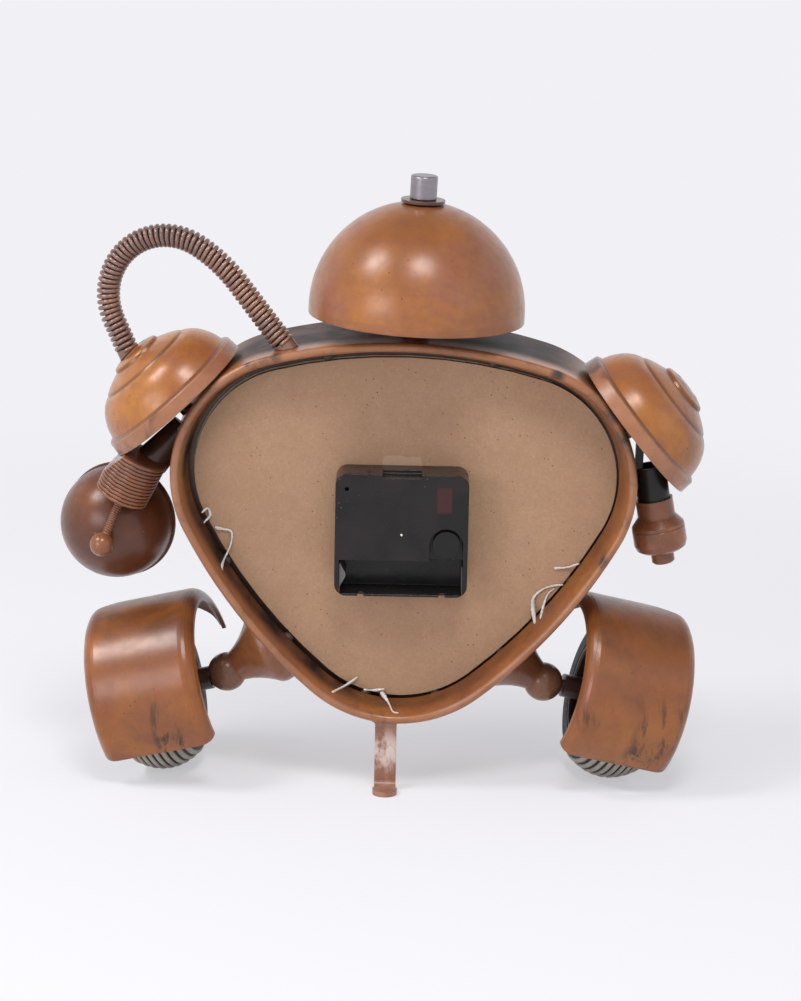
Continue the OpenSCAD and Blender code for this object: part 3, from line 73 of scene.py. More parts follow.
# Outline of a shoulder dome from its rim to the middle of its cap: [radius, height], in millimetres
SHOULDER_RIM = [(34.1, 0.0), (33.5, 5.6), (33.0, 6.1), (31.5, 6.9)]
SHOULDER_DOME = [(31.2, 7.4), (30.5, 10.0), (29.5, 12.4), (28.2, 14.8), (26.6, 17.0), (24.6, 19.0),
                 (22.6, 20.3), (21.0, 21.0)]
SHOULDER_STEP = [(20.2, 21.9), (18.4, 23.0), (15.6, 24.3), (13.2, 25.3), (11.6, 25.9)]
SHOULDER_CAP = [(11.2, 27.0), (10.6, 27.6), (9.4, 28.0), (6.9, 28.6), (6.5, 28.3), (4.4, 28.8), (0.0, 29.2)]
SHOULDER_WALL = 1.4
SHOULDER_CEILING = 27.2

# Left arm in the leaning body, in millimetres: the drum's ends and their radii, the rod's start and its ball
DRUM_TOP = (111.2, 11.6, 26.9)
DRUM_END = (119.2, 9.0, 8.3)
DRUM_R = (12.1, 11.4)
DRUM_RIBS = 12
ROD_START = (119.6, 12.4, 6.2)
ROD_BALL = (126.4, 18.5, -11.0)

# Height that keeps two rings of one outline apart, in millimetres
CRACK = 0.01

# Legs in the leaning body: middle of each bead, slopes in degrees, and the side's arc as [x, z, radius]
BEAD = {1: (72.8, -1.1, -71.2), -1: (-64.0, 0.1, -69.8)}
BEAD_SLOPE = 33.0
FLARE_SLOPE = 34.0
SIDE_ARC = (113.49, 108.04, 233.0)

# Copper: rounding of its edges in metres, roughness of its lacquer and of its bare places, and its gloss
COPPER_EDGE = 0.0006
COAT_ROUGHNESS = 0.28
MATT_ROUGHNESS = 0.72
LOW_GLOSS = 0.2

# Background colour as it looks on a screen
BACKGROUND = (241, 241, 245)

# Camera: lens and sensor in millimetres, distance and target in metres, tilt and roll in degrees
LENS = 118.0
SENSOR = 36.0
DISTANCE = 1.4
TARGET = ((AXIS_X + 0.7) * MM, 0.0, 0.1225)
TILT = 14.5
ROLL = 1.16

# Place that the lamps point at, in metres
LAMP_AIM = (0, 0, 0.12)


def body_dir(x, y, z):
    """A direction of the leaning body as the world has it."""
    a = math.radians(LEAN)
    return Vector((x * math.cos(a) - z * math.sin(a), y, x * math.sin(a) + z * math.cos(a)))


def body_point(x, y, z):
    """A place about the dial axis, in the leaning body, as a place in the world in metres."""
    return (Vector((AXIS_X, 0, AXIS_Z)) + body_dir(x, y, z)) * MM


def shoulder_frame(side):
    """Middle of a shoulder's rim and the direction in which its dome points."""
    a = math.radians(SHOULDER_TILT[side])
    out = SHOULDER_OUT[side]
    drop = SHOULDER_DROP[side]
    x = CORNER[0] + out * math.cos(a) + drop * math.sin(a)
    z = CORNER[1] + out * math.sin(a) - drop * math.cos(a)
    return body_point(side * x, 0, z), body_dir(side * math.cos(a), 0, math.sin(a))


def wheel_frame(side):
    """Middle of a tyre and the direction of its axle."""
    c = math.radians(CAMBER)
    t = math.radians(TOE[side])
    axle = Vector((side * math.cos(c) * math.cos(t), -math.cos(c) * math.sin(t), -math.sin(c)))
    return Vector((AXIS_X + LEGS_X + side * WHEEL_X, WHEEL_Y, WHEEL_Z)) * MM + axle * TYRE_MID * MM, axle


def srgb(r, g, b):
    """A colour as read off a screen, 0 to 255, as the linear values that shaders take."""
    def line(v):
        v /= 255
        return v / 12.92 if v <= 0.04045 else ((v + 0.055) / 1.055) ** 2.4
    return (line(r), line(g), line(b))


# Node helpers
def add_node(tree, kind, **values):
    """A new node with its settings."""
    node = tree.nodes.new(kind)
    for key, value in values.items():
        setattr(node, key, value)
    return node


class Shader:
    """A new material with its node tree and short calls for the nodes used here."""

    def __init__(self, name):
        # A look may set this to a mask of the places without lacquer
        self.matt = None
        self.mat = bpy.data.materials.new(name)
        self.mat.use_nodes = True
        self.tree = self.mat.node_tree
        self.tree.nodes.clear()
        self.out = self.new("ShaderNodeOutputMaterial")
        self.bsdf = self.new("ShaderNodeBsdfPrincipled")
        self.link(self.bsdf.outputs[0], self.out.inputs[0])
        self.coord = self.new("ShaderNodeTexCoord").outputs["Object"]

    def new(self, kind, **values):
        return add_node(self.tree, kind, **values)

    def link(self, a, b):
        self.tree.links.new(a, b)

    def feed(self, socket, value):
        """Links or sets a socket. None leaves it as it is."""
        if isinstance(value, bpy.types.NodeSocket):
            self.link(value, socket)
        elif value is not None:
            socket.default_value = value

    def set(self, **values):
        """Feeds the surface's inputs, named with _ for a space."""
        for key, value in values.items():
            self.feed(self.bsdf.inputs[key.replace("_", " ")], value)

    def scaled(self, x=1.0, y=1.0, z=1.0, turn=(0, 0, 0), shift=0.0):
        """The object's coordinates scaled, turned by degrees and shifted."""
        node = self.new("ShaderNodeMapping")
        self.link(self.coord, node.inputs["Vector"])
        node.inputs["Location"].default_value = (shift, shift * 0.7, shift * 1.3)
        node.inputs["Scale"].default_value = (x, y, z)
        node.inputs["Rotation"].default_value = [math.radians(a) for a in turn]
        return node.outputs[0]

    def noise(self, scale, detail=4.0, rough=0.5, vector=None, warp=0.0):
        node = self.new("ShaderNodeTexNoise")
        self.link(vector or self.coord, node.inputs["Vector"])
        node.inputs["Scale"].default_value = scale
        node.inputs["Detail"].default_value = detail
        node.inputs["Roughness"].default_value = rough
        node.inputs["Distortion"].default_value = warp
        return node.outputs["Fac"]

    def cells(self, scale, vector=None):
        """Distance to the nearest of many scattered points."""
        node = self.new("ShaderNodeTexVoronoi", feature="F1")
        self.link(vector or self.coord, node.inputs["Vector"])
        node.inputs["Scale"].default_value = scale
        return node.outputs["Distance"]

    def ramp(self, fac, *stops):
        """Greys or colours between stops of [place, value]."""
        node = self.new("ShaderNodeValToRGB")
        self.link(fac, node.inputs[0])
        ramp = node.color_ramp
        while len(ramp.elements) < len(stops):
            ramp.elements.new(0.5)
        for element, (place, value) in zip(ramp.elements, stops):
            element.position = place
            grey = isinstance(value, (int, float))
            element.color = (value, value, value, 1) if grey else (*value, 1)
        return node.outputs[0]

    def mix(self, fac, a, b):
        """Colour a where fac is 0 and colour b where it is 1."""
        node = self.new("ShaderNodeMix", data_type="RGBA", blend_type="MIX")
        self.feed(node.inputs[0], fac)
        for socket, value in ((node.inputs[6], a), (node.inputs[7], b)):
            if isinstance(value, tuple) and len(value) == 3:
                value = (*value, 1)
            self.feed(socket, value)
        return node.outputs[2]

    def math(self, op, a, b=None, clamp=False):
        node = self.new("ShaderNodeMath", operation=op, use_clamp=clamp)
        self.feed(node.inputs[0], a)
        if b is not None:
            self.feed(node.inputs[1], b)
        return node.outputs[0]

    def times(self, *values):
        """The product of several values."""
        total = values[0]
        for value in values[1:]:
            total = self.math("MULTIPLY", total, value)
        return total

    def most(self, *values):
        """The largest of several values."""
        total = values[0]
        for value in values[1:]:
            total = self.math("MAXIMUM", total, value)
        return total

    def vector(self, op, a, b=None, out="Vector"):
        node = self.new("ShaderNodeVectorMath", operation=op)
        self.feed(node.inputs[0], a)
        if b is not None:
            self.feed(node.inputs[1], b)
        return node.outputs[out]

    def spread(self, value, a, b, c=0.0, d=1.0):
        """A smooth step from c at a to d at b."""
        node = self.new("ShaderNodeMapRange", interpolation_type="SMOOTHSTEP")
        self.link(value, node.inputs[0])
        for i, v in enumerate((a, b, c, d)):
            node.inputs[i + 1].default_value = v
        return node.outputs[0]

    def axis(self, name):
        node = self.new("ShaderNodeSeparateXYZ")
        self.link(self.coord, node.inputs[0])
        return node.outputs[name]

    def off_axis(self):
        """Distance along X from the dial axis, without a sign."""
        return self.math("ABSOLUTE", self.math("SUBTRACT", self.axis("X"), AXIS_X * MM))

    def along(self, place, direction):
        """Distance past a place along a direction."""
        return self.vector("DOT_PRODUCT", self.vector("SUBTRACT", self.coord, place), direction, "Value")

    def around(self, place, direction):
        """Distance from the line through a place along a direction."""
        rel = self.vector("SUBTRACT", self.coord, place)
        return self.vector("LENGTH", self.vector("CROSS_PRODUCT", rel, direction), None, "Value")

    def near(self, place, inner, outer):
        """1 within inner of a place, down to 0 at outer, both in metres."""
        return self.spread(self.vector("DISTANCE", self.coord, place, "Value"), outer, inner)

    def facing(self, direction):
        """How far the surface faces a direction, from -1 to 1."""
        normal = self.new("ShaderNodeTexCoord").outputs["Normal"]
        return self.vector("DOT_PRODUCT", normal, direction, "Value")

    def crease(self, reach):
        """0 deep in narrow grooves, 1 on open surfaces."""
        node = self.new("ShaderNodeAmbientOcclusion", samples=6)
        node.inputs["Distance"].default_value = reach
        return node.outputs["AO"]

    def soft_edges(self, radius):
        """Normals that round the edges by a radius in metres."""
        node = self.new("ShaderNodeBevel", samples=6)
        node.inputs["Radius"].default_value = radius
        return node.outputs[0]

    def bump(self, height, strength, distance, after=None):
        """Normals of a relief, laid over other normals where these are given."""
        node = self.new("ShaderNodeBump")
        self.link(height, node.inputs["Height"])
        node.inputs["Strength"].default_value = strength
        node.inputs["Distance"].default_value = distance
        if after is not None:
            self.link(after, node.inputs["Normal"])
        return node.outputs[0]


# Materials
def copper(name, warm, mid, patina, rough, rose=(148, 92, 66), dark=(92, 54, 34), metal=0.05, coat=0.7,
           seed=0.0, look=None):
    """Lacquered copper with warm and rosy clouds, stains and specks. A look adds what one piece has."""
    s = Shader(name)
    vec = s.scaled(shift=seed)
    cloud = s.noise(19, 3, 0.5, vec, 0.3)
    colour = s.ramp(cloud, (0.36, srgb(*mid)), (0.56, srgb(*warm)), (0.7, srgb(*mid)))
    hue = s.noise(31, 4, 0.55, s.scaled(shift=seed + 3.3), 0.6)
    colour = s.mix(s.ramp(hue, (0.45, 0.0), (0.66, 0.85)), colour, srgb(*rose))
    stain = s.ramp(s.noise(52, 8, 0.72, vec, 1.2), (0.5, 0.0), (0.74, patina))
    colour = s.mix(stain, colour, srgb(*dark))
    fine = s.noise(230, 5, 0.62, vec)
    colour = s.mix(s.ramp(fine, (0.42, 0.0), (0.78, 0.3)), colour, srgb(*dark))
    rare = s.ramp(s.noise(46, 3, 0.5, vec), (0.54, 0.0), (0.64, 1.0))
    specks = s.times(s.ramp(s.cells(240, vec), (0.06, 1.0), (0.13, 0.0)), rare)
    colour = s.mix(s.times(specks, 0.7), colour, srgb(60, 38, 28))
    pale = s.ramp(s.cells(310, s.scaled(shift=seed + 8.1)), (0.04, 0.45), (0.09, 0.0))
    colour = s.mix(s.times(pale, s.ramp(hue, (0.5, 1.0), (0.6, 0.0))), colour, srgb(196, 146, 104))
    if look is not None:
        colour = look(s, colour)
    gloss = s.spread(fine, 0.3, 0.75, rough - 0.05, rough + 0.14)
    normal = s.soft_edges(COPPER_EDGE)
    normal = s.bump(s.noise(15, 2, 0.4, vec), 0.1, 0.0012, normal)
    normal = s.bump(fine, 0.12, 0.00015, normal)
    weight = coat
    if s.matt is not None:
        clear = s.math("SUBTRACT", 1.0, s.matt, True)
        weight = s.times(clear, coat)
        gloss = s.math("ADD", s.times(gloss, clear), s.times(s.matt, MATT_ROUGHNESS))
    s.set(Base_Color=colour, Metallic=metal, Roughness=gloss, Normal=normal, Specular_IOR_Level=LOW_GLOSS,
          Coat_Weight=weight, Coat_Roughness=COAT_ROUGHNESS)
    return s.mat


def plain(name, colour, rough, metal, grain, depth, vary, spec=None, edge=0.0003, look=None,
          streak=(1, 1, 1)):
    """One colour that varies a little, with a fine grain."""
    s = Shader(name)
    vec = s.scaled(*streak)
    fine = s.noise(grain, 5, 0.6, vec)
    base = srgb(*colour)
    low = tuple(v * (1 - vary) for v in base)
    high = tuple(v * (1 + vary) for v in base)
    tone = s.ramp(s.noise(grain / 6, 4, 0.6, vec), (0.3, low), (0.7, high))
    if look is not None:
        tone = look(s, tone)
    s.set(Base_Color=tone, Metallic=metal, Specular_IOR_Level=spec,
          Roughness=s.spread(fine, 0.3, 0.7, rough - 0.05, rough + 0.08),
          Normal=s.bump(fine, depth, 0.0002, s.soft_edges(edge)))
    return s.mat


# Dark patches on the shell's rear rim: [x, y, z, radius] in the leaning body
SHELL_PATCHES = [
    (94.5, 19, 43.6, 5.5), (87.5, 20, 55.0, 6.0), (57.5, 24, 74.2, 7.0), (66.0, 25, 70.5, 4.0),
    (-85.5, 24, 54.8, 5.5), (-90.2, 24, 44.7, 6.5), (-93.0, 24, 38.7, 5.0), (84.0, 22, -17.6, 4.0),
    (96.5, 20, 22.0, 4.5), (-62.0, 25, 71.0, 4.5), (-84.0, 24, -8.0, 4.5)]


def shell_look(s, colour):
    """Dark flame patina on the top wall, soot and painted shade inside the rear flange, a worn rim crest with
    a painted highlight, and a few dark patches.
    """
    middle = Vector((AXIS_X, 0, AXIS_Z)) * MM
    rel = s.vector("MULTIPLY", s.vector("SUBTRACT", s.coord, middle), Vector((1, 0, 1)))
    out = s.facing(s.vector("NORMALIZE", rel))
    y = s.axis("Y")
    wall = s.spread(out, 0.2, 0.7)
    inside = s.spread(out, -0.2, -0.7)
    rear = s.spread(y, 0.0, 0.008)
    front = s.spread(y, 0.0225, 0.008)
    near_axis = s.spread(s.off_axis(), 0.092, 0.06)
    high = s.spread(s.axis("Z"), 0.165, 0.185)
    blot = s.ramp(s.noise(24, 6, 0.65, None, 0.8), (0.26, 0.55), (0.5, 1.0))
    top = s.times(wall, front, near_axis, high, blot)
    dark = s.ramp(s.noise(60, 6, 0.6), (0.3, srgb(42, 38, 42)), (0.7, srgb(86, 70, 64)))
    colour = s.mix(top, colour, dark)
    lip = s.spread(y, 0.0225, 0.0145)
    side = s.spread(s.axis("X"), (AXIS_X - 55) * MM, (AXIS_X + 30) * MM, 0.35, 1.0)
    haze = s.ramp(s.noise(36, 4, 0.6), (0.3, 0.55), (0.6, 1.0))
    # Soot stains towards the left plus painted shade: the flange's inside next to the board is painted near
    # black where the gap lies in shade
    soot_and_gap_shade = s.times(inside, rear, lip, side, haze)
    colour = s.mix(soot_and_gap_shade, colour, srgb(22, 17, 15))
    s.matt = s.most(soot_and_gap_shade, s.times(top, 0.8))
    worn = s.ramp(s.noise(38, 5, 0.6), (0.38, 0.25), (0.62, 0.8))
    # The rim's crest is paler from wear and from a painted highlight
    crest_wear_and_highlight = s.times(s.spread(y, 0.0228, 0.0242), worn)
    colour = s.mix(crest_wear_and_highlight, colour, srgb(162, 114, 84))
    patches = [s.near(body_point(px, py, pz), 0.2 * r * MM, r * MM) for px, py, pz, r in SHELL_PATCHES]
    torn = s.ramp(s.noise(95, 7, 0.7, None, 0.8), (0.4, 0.15), (0.56, 1.0))
    colour = s.mix(s.times(s.most(*patches), torn, rear), colour, srgb(62, 50, 44))
    rub = s.ramp(s.noise(62, 7, 0.72, s.scaled(shift=4.4), 1.0), (0.56, 0.0), (0.66, 0.5))
    return s.mix(rub, colour, srgb(84, 60, 48))


def head_look(s, colour):
    """Fine rings from spinning that fade upwards, and a browner crown."""
    z = s.axis("Z")
    rings = s.ramp(s.noise(16, 5, 0.6, s.scaled(z=26)), (0.42, 0.0), (0.7, 0.4))
    low = s.spread(z, 0.232, 0.206, 0.15, 1.0)
    colour = s.mix(s.times(rings, low), colour, srgb(112, 70, 48))
    crown = s.times(s.spread(z, 0.236, 0.248), 0.35)
    return s.mix(crown, colour, srgb(124, 78, 50))


# Painted shade lines at a shoulder's steps: [height above the rim, half width], in millimetres
SHOULDER_SHADE_LINES = [(6.6, 0.9), (21.6, 0.8), (26.5, 1.0), (28.4, 0.3)]


def shoulder_look(side):
    """A rosy rim band with dark stains under a warmer dome, and painted shade lines at the steps."""
    place, direction = shoulder_frame(side)

    def look(s, colour):
        height = s.along(place, direction)
        band = s.spread(height, (SHOULDER_BAND + 0.5) * MM, (SHOULDER_BAND - 0.3) * MM)
        rose = s.ramp(s.noise(60, 5, 0.6), (0.35, srgb(146, 94, 64)), (0.65, srgb(166, 114, 84)))
        colour = s.mix(s.times(band, 0.85), colour, rose)
        blot = s.noise(34, 6, 0.68, s.scaled(shift=2.0 + side), 0.7)
        stain = s.times(s.ramp(blot, (0.52, 0.0), (0.62, 0.8)), band)
        colour = s.mix(stain, colour, srgb(80, 54, 42))
        # Painted shade in thin lines under the steps' ledges
        lines = []
        for step, half in SHOULDER_SHADE_LINES:
            off = s.math("ABSOLUTE", s.math("SUBTRACT", height, step * MM))
            lines.append(s.spread(off, half * MM, 0.3 * half * MM))
        groove = s.times(s.most(*lines), 0.6)
        return s.mix(groove, colour, srgb(84, 50, 34))
    return look


def fender_look(side):
    """A brown stain towards the top, deepened there as painted shade, and scratches that run down towards the
    lower edge.
    """
    def look(s, colour):
        z = s.axis("Z")
        blot = s.noise(38, 6, 0.66, s.scaled(shift=6.0 + side), 0.6)
        # Stain near the top, darker also as painted shade on the fender's top
        stain = s.ramp(blot, (0.4, 0.15), (0.62, 0.8))
        high = s.spread(z, 0.058, 0.07)
        colour = s.mix(s.times(stain, high), colour, srgb(96, 58, 38))
        lines = s.noise(170, 6, 0.72, s.scaled(z=0.1, turn=(0, side * 8, 0)), 0.3)
        patch = s.ramp(s.noise(40, 3, 0.5, s.scaled(z=0.5, shift=1.0 - side)), (0.4, 0.0), (0.5, 1.0))
        low = s.spread(z, 0.05, 0.036)
        scratch = s.times(s.ramp(lines, (0.5, 0.0), (0.6, 0.95)), patch, low)
        return s.mix(scratch, colour, srgb(58, 36, 26))
    return look


def prop_look(s, colour):
    """Worn bright where the strip was rubbed."""
    rub = s.ramp(s.noise(190, 6, 0.7, s.scaled(z=0.5, turn=(0, 50, 0))), (0.44, 0.0), (0.58, 1.0))
    worn = s.near(body_point(3.2, REAR_Y - 3, -97), 0.002, 0.012)
    colour = s.mix(s.times(rub, worn), colour, srgb(216, 200, 194))
    return s.mix(s.times(rub, 0.25), colour, srgb(196, 158, 140))


def groove_look(dark, reach, strength):
    """Painted shade in narrow grooves, from ambient occlusion."""
    def look(s, colour):
        return s.mix(s.spread(s.crease(reach), 0.75, 0.3, 0.0, strength), colour, srgb(*dark))
    return look


def stud_look(s, colour):
    """Yellow zinc on the right, dark on the left."""
    left = s.spread(s.axis("X"), (AXIS_X - 5) * MM, (AXIS_X + 5) * MM)
    return s.mix(left, colour, srgb(40, 32, 28))


def tyre(side):
    """Grey ribs, rubbed pale and given a painted highlight on their crests, with dark grooves between them.
    """
    place, axle = wheel_frame(side)
    half_width = 0.0118
    crown_drop = 0.004

    def look(s, colour):
        across = s.math("DIVIDE", s.along(place, axle), half_width)
        crown = s.times(across, across, crown_drop)
        depth = s.math("ADD", s.around(place, axle), crown)
        # Pale rib crests: rubbed wear plus a painted highlight
        crest_wear_and_highlight = s.spread(depth, (TYRE_R - 0.95) * MM, (TYRE_R - 0.1) * MM)
        tread = s.spread(depth, (TYRE_R - 5) * MM, (TYRE_R - 3) * MM)
        pale = s.ramp(s.noise(90, 5, 0.6), (0.35, srgb(140, 134, 124)), (0.65, srgb(170, 164, 152)))
        ribs = s.mix(crest_wear_and_highlight, srgb(40, 36, 34), pale)
        return s.mix(tread, colour, ribs)
    name = "left" if side > 0 else "right"
    return plain("grey_tyre_" + name, (36, 33, 31), 0.5, 0.1, 300, 0.15, 0.22, 0.4, look=look)


def case_look(s, colour):
    """A faint red window mark and specks of dust on the movement's rear."""
    place = Vector((AXIS_X, REAR_Y, AXIS_Z)) * MM
    x = s.along(place, Vector((1, 0, 0)))
    z = s.along(place, Vector((0, 0, 1)))
    rear = s.spread(s.facing(Vector((0, 1, 0))), 0.8, 0.95)
    wide = s.times(s.spread(x, -0.0214, -0.0204), s.spread(x, -0.0142, -0.0152))
    tall = s.times(s.spread(z, 0.0092, 0.0104), s.spread(z, 0.0212, 0.0200))
    colour = s.mix(s.times(rear, wide, tall, 0.8), colour, srgb(72, 32, 30))
    haze = s.ramp(s.noise(42, 3, 0.5), (0.45, 0.0), (0.7, 0.5))
    colour = s.mix(haze, colour, srgb(48, 38, 36))
    specks = s.ramp(s.cells(420), (0.05, 0.6), (0.1, 0.0))
    some = s.ramp(s.noise(60, 2), (0.52, 0.0), (0.6, 1.0))
    return s.mix(s.times(specks, some, rear), colour, srgb(150, 144, 138))


def fibreboard():
    """Raw board with flecks and fibres, and a paler torn patch at the movement's top edge."""
    s = Shader("fibreboard_raw")
    cloud = s.noise(14, 4, 0.6, None, 0.3)
    fine = s.noise(820, 6, 0.72)
    colour = s.ramp(cloud, (0.3, srgb(174, 137, 107)), (0.7, srgb(187, 151, 119)))
    middling = s.noise(190, 5, 0.7)
    colour = s.mix(s.ramp(middling, (0.4, 0.0), (0.75, 0.5)), colour, srgb(166, 128, 102))
    colour = s.mix(s.ramp(fine, (0.32, 0.4), (0.62, 0.0)), colour, srgb(150, 114, 88))
    some = s.ramp(s.noise(120, 2, 0.5), (0.5, 0.0), (0.58, 1.0))
    flecks = s.times(s.ramp(s.cells(340), (0.07, 1.0), (0.15, 0.0)), some)
    colour = s.mix(s.times(flecks, 0.8), colour, srgb(94, 62, 44))
    fibres = s.ramp(s.cells(300, s.scaled(z=2.6, turn=(0, 35, 0), shift=5.0)), (0.05, 0.6), (0.12, 0.0))
    colour = s.mix(fibres, colour, srgb(124, 88, 66))
    pale = s.ramp(s.cells(460, s.scaled(turn=(20, 40, 10))), (0.06, 0.35), (0.14, 0.0))
    colour = s.mix(pale, colour, srgb(218, 190, 164))
    middle = body_point(1, BOARD_Y, 27.5)
    x = s.along(middle, Vector((1, 0, 0)))
    z = s.along(middle, Vector((0, 0, 1)))
    torn = s.times(s.math("SUBTRACT", s.noise(160, 4, 0.6), 0.5), 0.004)
    width = s.math("ADD", s.math("ABSOLUTE", x), torn)
    height = s.math("ADD", s.math("ABSOLUTE", z), torn)
    patch = s.times(s.spread(width, 0.0086, 0.0078), s.spread(height, 0.0026, 0.002))
    colour = s.mix(s.times(patch, 0.4), colour, srgb(208, 176, 150))
    relief = s.bump(fine, 0.2, 0.0002, s.bump(middling, 0.15, 0.0003))
    s.set(Base_Color=colour, Roughness=0.85, Normal=relief)
    return s.mat


def glass():
    """Clear glass, almost flat."""
    s = Shader("clear_glass")
    s.set(Base_Color=(0.95, 0.98, 0.98, 1), Roughness=0.03, IOR=1.5, Transmission_Weight=1.0,
          Normal=s.bump(s.noise(6, 2, 0.5), 0.01, 0.001))
    return s.mat


def milky_glue():
    """Pale glue that lets some light in."""
    s = Shader("milky_glue")
    tone = s.ramp(s.noise(260, 4, 0.6), (0.3, srgb(214, 206, 198)), (0.7, srgb(238, 234, 228)))
    s.set(Base_Color=tone, Roughness=0.3, Normal=s.bump(s.noise(700, 3), 0.2, 0.0002),
          Transmission_Weight=0.15, Subsurface_Weight=0.2, Subsurface_Scale=0.001)
    return s.mat


def board_green():
    """A circuit board's green with paler tracks."""
    s = Shader("green_board")
    tracks = s.noise(700, 1, 0.3, s.scaled(z=4))
    lines = s.ramp(tracks, (0.46, srgb(24, 74, 44)), (0.54, srgb(48, 112, 68)))
    s.set(Base_Color=lines, Roughness=0.4, Normal=s.bump(s.noise(600), 0.1, 0.0002))
    return s.mat


def winding():
    """Fine turns of enamelled wire."""
    s = Shader("enamelled_winding")
    wave = s.new("ShaderNodeTexWave", wave_type="BANDS", bands_direction="X")
    s.link(s.coord, wave.inputs["Vector"])
    wave.inputs["Scale"].default_value = 1600
    turns = wave.outputs["Fac"]
    s.set(Base_Color=s.ramp(turns, (0.2, srgb(120, 52, 20)), (0.8, srgb(196, 98, 44))),
          Metallic=0.6, Roughness=0.35, Normal=s.bump(turns, 0.6, 0.0002))
    return s.mat


MATERIALS = {
    "shell": copper("copper_shell", warm=(170, 104, 46), mid=(142, 82, 40), rose=(136, 82, 54), patina=0.6,
                    rough=0.36, look=shell_look),
    "head": copper("copper_head", warm=(166, 103, 46), mid=(134, 78, 38), seed=1.7, patina=0.3, rough=0.33,
                   look=head_look),
    "left_dome": copper("copper_left_shoulder", warm=(178, 114, 50), mid=(156, 90, 40), seed=3.1, patina=0.35,
                        rough=0.29, look=shoulder_look(1)),
    "right_dome": copper("copper_right_shoulder", warm=(172, 108, 48), mid=(146, 84, 38), seed=4.2,
                         patina=0.4, rough=0.29, look=shoulder_look(-1)),
    "left_fender": copper("copper_left_fender", warm=(154, 91, 38), mid=(136, 75, 32), rose=(128, 74, 44),
                          seed=5.3, patina=0.35, rough=0.32, look=fender_look(1)),
    "right_fender": copper("copper_right_fender", warm=(156, 94, 42), mid=(138, 78, 36), rose=(130, 76, 46),
                           seed=6.6, patina=0.35, rough=0.32, look=fender_look(-1)),
    "bowl": copper("copper_bowl", warm=(122, 72, 40), mid=(98, 54, 32), rose=(88, 48, 34), dark=(54, 30, 22),
                   seed=7.9, patina=0.4, rough=0.34, coat=0.6),
    "barrel": copper("copper_barrel", warm=(144, 90, 58), mid=(124, 76, 52), rose=(108, 66, 48),
                     dark=(60, 36, 28), seed=8.8, patina=0.4, rough=0.3,
                     look=groove_look((44, 26, 18), 0.002, 0.7)),
    "cone": copper("copper_cone", warm=(150, 92, 52), mid=(130, 76, 44), rose=(116, 72, 54),
                   dark=(62, 38, 26), seed=9.2, patina=0.35, rough=0.26,
                   look=groove_look((34, 20, 16), 0.0014, 0.9)),
    "flare": copper("copper_flare", warm=(150, 94, 58), mid=(134, 80, 50), rose=(116, 70, 50),
                    dark=(74, 44, 32), seed=10.1, patina=0.4, rough=0.28),
    "bead": copper("copper_bead", warm=(136, 92, 66), mid=(118, 80, 62), rose=(102, 70, 60),
                   dark=(54, 36, 28), seed=14.2, patina=0.4, rough=0.24, coat=0.5),
    "prop": copper("copper_prop", warm=(150, 102, 78), mid=(136, 90, 70), rose=(146, 104, 88),
                   dark=(80, 52, 38), seed=10.9, patina=0.5, rough=0.34, look=prop_look),
    "brown": copper("brown_steel", warm=(100, 64, 46), mid=(80, 52, 40), rose=(70, 46, 38), dark=(38, 26, 20),
                    seed=11.0, patina=0.4, rough=0.3),
    "dark": copper("dark_steel", warm=(74, 46, 34), mid=(52, 34, 28), rose=(44, 30, 27), dark=(22, 17, 15),
                   seed=12.0, patina=0.5, rough=0.34),
    "hose": copper("hose_wire_brown", warm=(158, 118, 98), mid=(134, 102, 90), rose=(118, 98, 96),
                   dark=(50, 36, 30), seed=13.0, patina=0.35, rough=0.24, metal=0.3, coat=0.5,
                   look=groove_look((30, 22, 20), 0.0007, 0.6)),
    "finial": plain("bare_steel", (150, 144, 150), 0.3, 0.9, 120, 0.08, 0.1, streak=(1, 1, 9)),
    "black": plain("black_steel", (26, 23, 22), 0.34, 0.2, 200, 0.1, 0.2),
    "plastic": plain("black_plastic", (22, 20, 19), 0.2, 0.0, 120, 0.02, 0.1, 0.32, 0.0006),
    "case": plain("black_case", (24, 22, 21), 0.22, 0.0, 90, 0.02, 0.1, 0.32, 0.0009, case_look),
    "board": fibreboard(),
    "glass": glass(),
    "dial": plain("dial_cream", (226, 214, 184), 0.55, 0.0, 400, 0.04, 0.05),
    "print": plain("dial_print", (44, 34, 28), 0.6, 0.0, 500, 0.05, 0.2),
    "glue": milky_glue(),
    # Milky glue pads darkened as painted shade, since they sit in the shaded gap
    "glue_painted_shade": plain("glue_shade_dark", (64, 52, 44), 0.5, 0.0, 500, 0.2, 0.2),
    "rubber": plain("dark_rubber", (34, 27, 25), 0.6, 0.0, 500, 0.2, 0.2),
    "left_tyre": tyre(1),
    "right_tyre": tyre(-1),
    "brass": plain("turned_brass", (198, 164, 92), 0.3, 1.0, 500, 0.1, 0.12),
    "zinc": plain("yellow_zinc", (168, 144, 88), 0.34, 0.8, 400, 0.1, 0.2, look=stud_look),
    "acetal": plain("pale_acetal", (226, 222, 208), 0.45, 0.0, 300, 0.05, 0.05),
    "plated": plain("plated_steel", (118, 114, 112), 0.36, 1.0, 500, 0.08, 0.1),
    "winding": winding(),
    "pcb": board_green(),
    "hands": plain("dark_hands", (40, 34, 30), 0.4, 0.4, 300, 0.08, 0.15),
}

